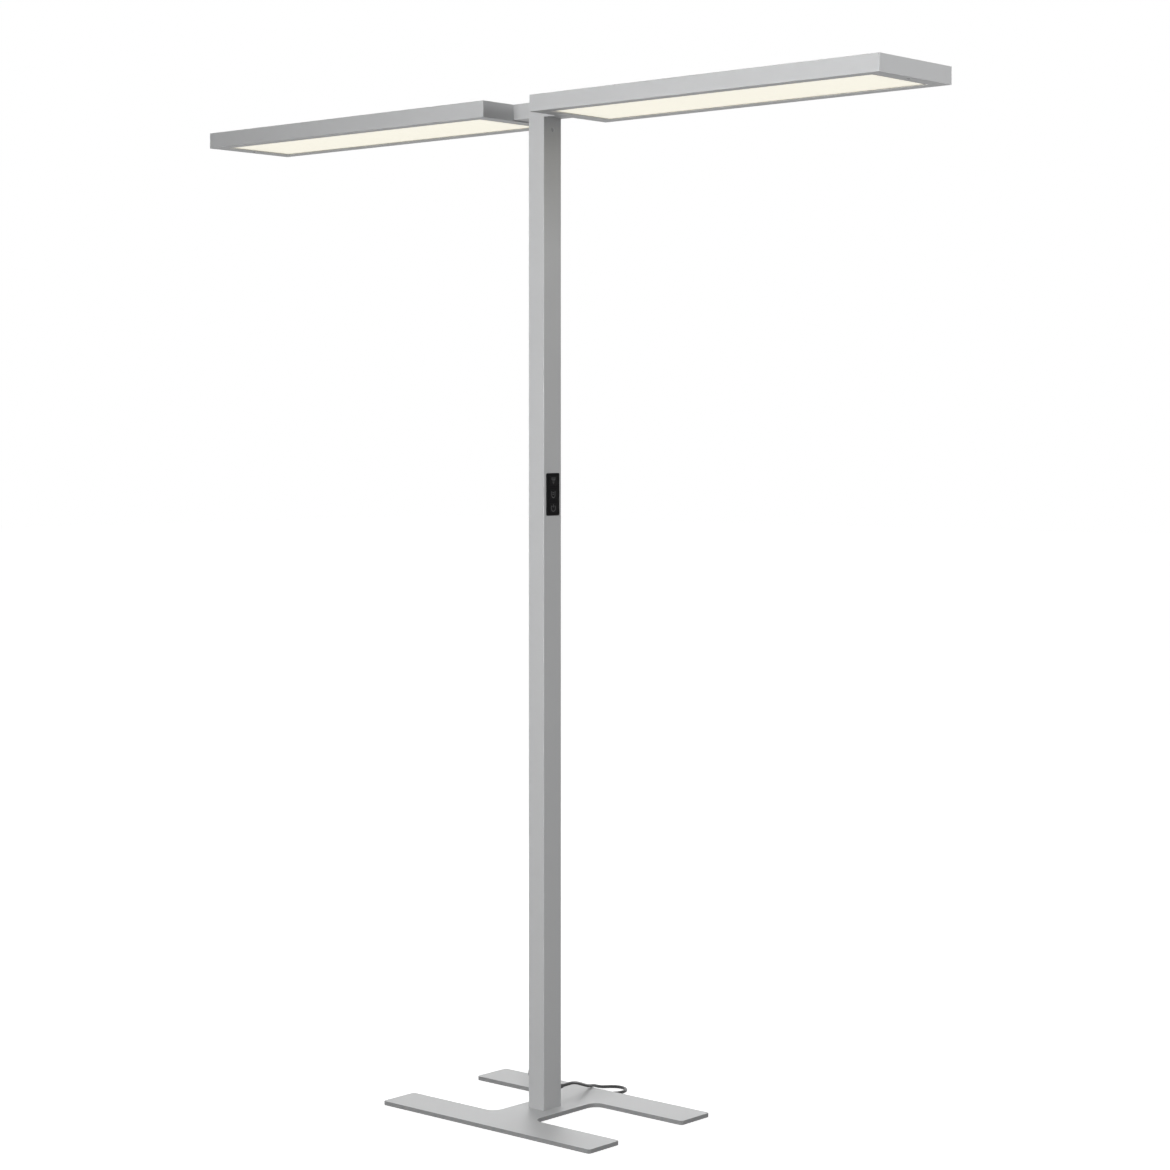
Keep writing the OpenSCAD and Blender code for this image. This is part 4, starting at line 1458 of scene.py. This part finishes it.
@dataclass
class Studio:
    """White studio: camera, floor, even light from all sides and soft lamps."""

    camera_place: Point = (3.3731, -3.7141, 1.2881)
    camera_tilt: float = math.radians(90)
    camera_turn: float = math.radians(41.36)
    lens: float = 79.83
    sensor: float = 36.0
    shift: float = -0.1192
    sight: float = 200.0
    floor_half: float = 30.0
    floor_tone: Colour = (0.4, 0.4, 0.4)
    floor_lift: float = 0.95
    surround_tone: Colour = (1.0, 1.0, 1.0)
    surround_seen: float = 1.0
    surround_light: float = 0.14
    lamps: tuple[SoftLamp, ...] = (
        SoftLamp("key_lamp", (1.0, -5.4, 1.9), (1.3, 0.0, 1.45), (1.4, 3.0), 13.5, spread=50.0),
        SoftLamp("fill_lamp", (-0.3, -5.4, 2.4), (0.5, 0.0, 1.4), (2.0, 2.4), 19.0, spread=60.0),
        SoftLamp("top_lamp", (-0.5, 0.2, 6.0), (0.0, 0.0, 0.0), (4.0, 3.0), 63.0),
        SoftLamp("end_lamp", (2.4, 0.0, 2.18), (0.86, 0.0, 1.93), (0.4, 0.4), 4.1, spread=100.0),
        SoftLamp("side_lamp", (5.6, -0.6, 0.9), (0.0, 0.0, 0.45), (1.6, 1.2), 3.3, spread=40.0),
        SoftLamp("back_lamp", (-3.6, 4.6, 3.2), (0.0, 0.0, 1.0), (5.0, 2.6), 17.5, spread=70.0),
        SoftLamp("rear_lamp", (-1.0, 5.4, 1.2), (-0.2, 0.0, 1.1), (2.0, 2.4), 10.0, spread=70.0),
        SoftLamp("left_lamp", (-5.4, 0.6, 1.4), (0.0, 0.0, 1.1), (2.0, 2.4), 8.0, spread=60.0),
    )

    def make_camera(self) -> None:
        """Places the camera at the photograph's level viewpoint."""
        data = bpy.data.cameras.new("camera")
        data.sensor_fit = "HORIZONTAL"
        data.sensor_width = self.sensor
        data.lens = self.lens
        data.shift_y = self.shift
        data.clip_end = self.sight
        obj = bpy.data.objects.new("camera", data)
        bpy.context.scene.collection.objects.link(obj)
        obj.location = self.camera_place
        obj.rotation_euler = (self.camera_tilt, 0.0, self.camera_turn)
        bpy.context.scene.camera = obj

    @staticmethod
    def seen_directly(tree: bpy.types.NodeTree) -> bpy.types.NodeSocket:
        """Adds what tells rays that see the background from those that light the lamp.

        Args:
            tree: the node tree.

        Returns:
            1 for camera, glossy and transmission rays, and 0 for others.
        """
        path = tree.nodes.new("ShaderNodeLightPath")
        total = path.outputs["Is Camera Ray"]
        for other in ("Is Glossy Ray", "Is Transmission Ray"):
            node = tree.nodes.new("ShaderNodeMath")
            node.operation = "MAXIMUM"
            tree.links.new(total, node.inputs[0])
            tree.links.new(path.outputs[other], node.inputs[1])
            total = node.outputs["Value"]
        return total

    def make_world(self) -> None:
        """Makes the surround: white where it is seen, and an even soft light elsewhere."""
        world = bpy.data.worlds.new("surround")
        bpy.context.scene.world = world
        world.use_nodes = True
        tree = world.node_tree
        tree.nodes.clear()
        mix = tree.nodes.new("ShaderNodeMixShader")
        share, *sides = mix.inputs
        tree.links.new(self.seen_directly(tree), share)
        for side, strength in zip(sides, (self.surround_light, self.surround_seen)):
            light = tree.nodes.new("ShaderNodeBackground")
            light.inputs["Color"].default_value = (*self.surround_tone, 1.0)
            light.inputs["Strength"].default_value = strength
            tree.links.new(light.outputs["Background"], side)
        output = tree.nodes.new("ShaderNodeOutputWorld")
        tree.links.new(mix.outputs["Shader"], output.inputs["Surface"])

    def floor_mesh(self, work: bmesh.types.BMesh) -> None:
        """Adds the floor's one face to its mesh.

        Args:
            work: the mesh.
        """
        half = self.floor_half
        edge = ((-half, -half, 0), (half, -half, 0), (half, half, 0), (-half, half, 0))
        work.faces.new([work.verts.new(p) for p in edge])

    def make_floor(self) -> None:
        """Lays the white floor, which keeps the lamp's soft shadow."""
        floor = mesh_piece("studio_floor", self.floor_mesh, smooth=False)
        g = Graph("studio floor")
        paper = g.add("ShaderNodeBsdfDiffuse")
        g.feed(paper.inputs["Color"], self.floor_tone)
        lift = g.add("ShaderNodeEmission")
        g.feed(lift.inputs["Strength"], g.maths("MULTIPLY", self.seen_directly(g.tree), self.floor_lift))
        both = g.add("ShaderNodeAddShader")
        g.tree.links.new(paper.outputs["BSDF"], both.inputs[0])
        g.tree.links.new(lift.outputs["Emission"], both.inputs[1])
        g.end(both.outputs["Shader"])
        floor.data.materials.append(g.material)

    def make_lamps(self) -> None:
        """Hangs the soft lamps."""
        for lamp in self.lamps:
            lamp.make()


# ---------------------------------------------------------------- the whole


def main() -> None:
    """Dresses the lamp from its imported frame."""
    logging.basicConfig(level=logging.INFO, format="%(name)s %(message)s")
    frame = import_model()
    nodes = frame["nodes"]
    palette = Palette(frame["record"])
    scene = bpy.context.scene
    scene.view_settings.view_transform = "Standard"

    studio = Studio()
    studio.make_camera()
    MainsCord(nodes, palette).make()
    BaseFrame(nodes, palette).dress()
    Post(nodes, palette).dress()
    Crossbar(nodes, palette).dress()
    for side in Side:
        LuminousHead(nodes, palette, side=side).dress()
    controls = Controls(nodes, palette)
    controls.dress()
    controls.print_marks()
    studio.make_world()
    studio.make_floor()
    studio.make_lamps()


if __name__ == "__main__":
    main()
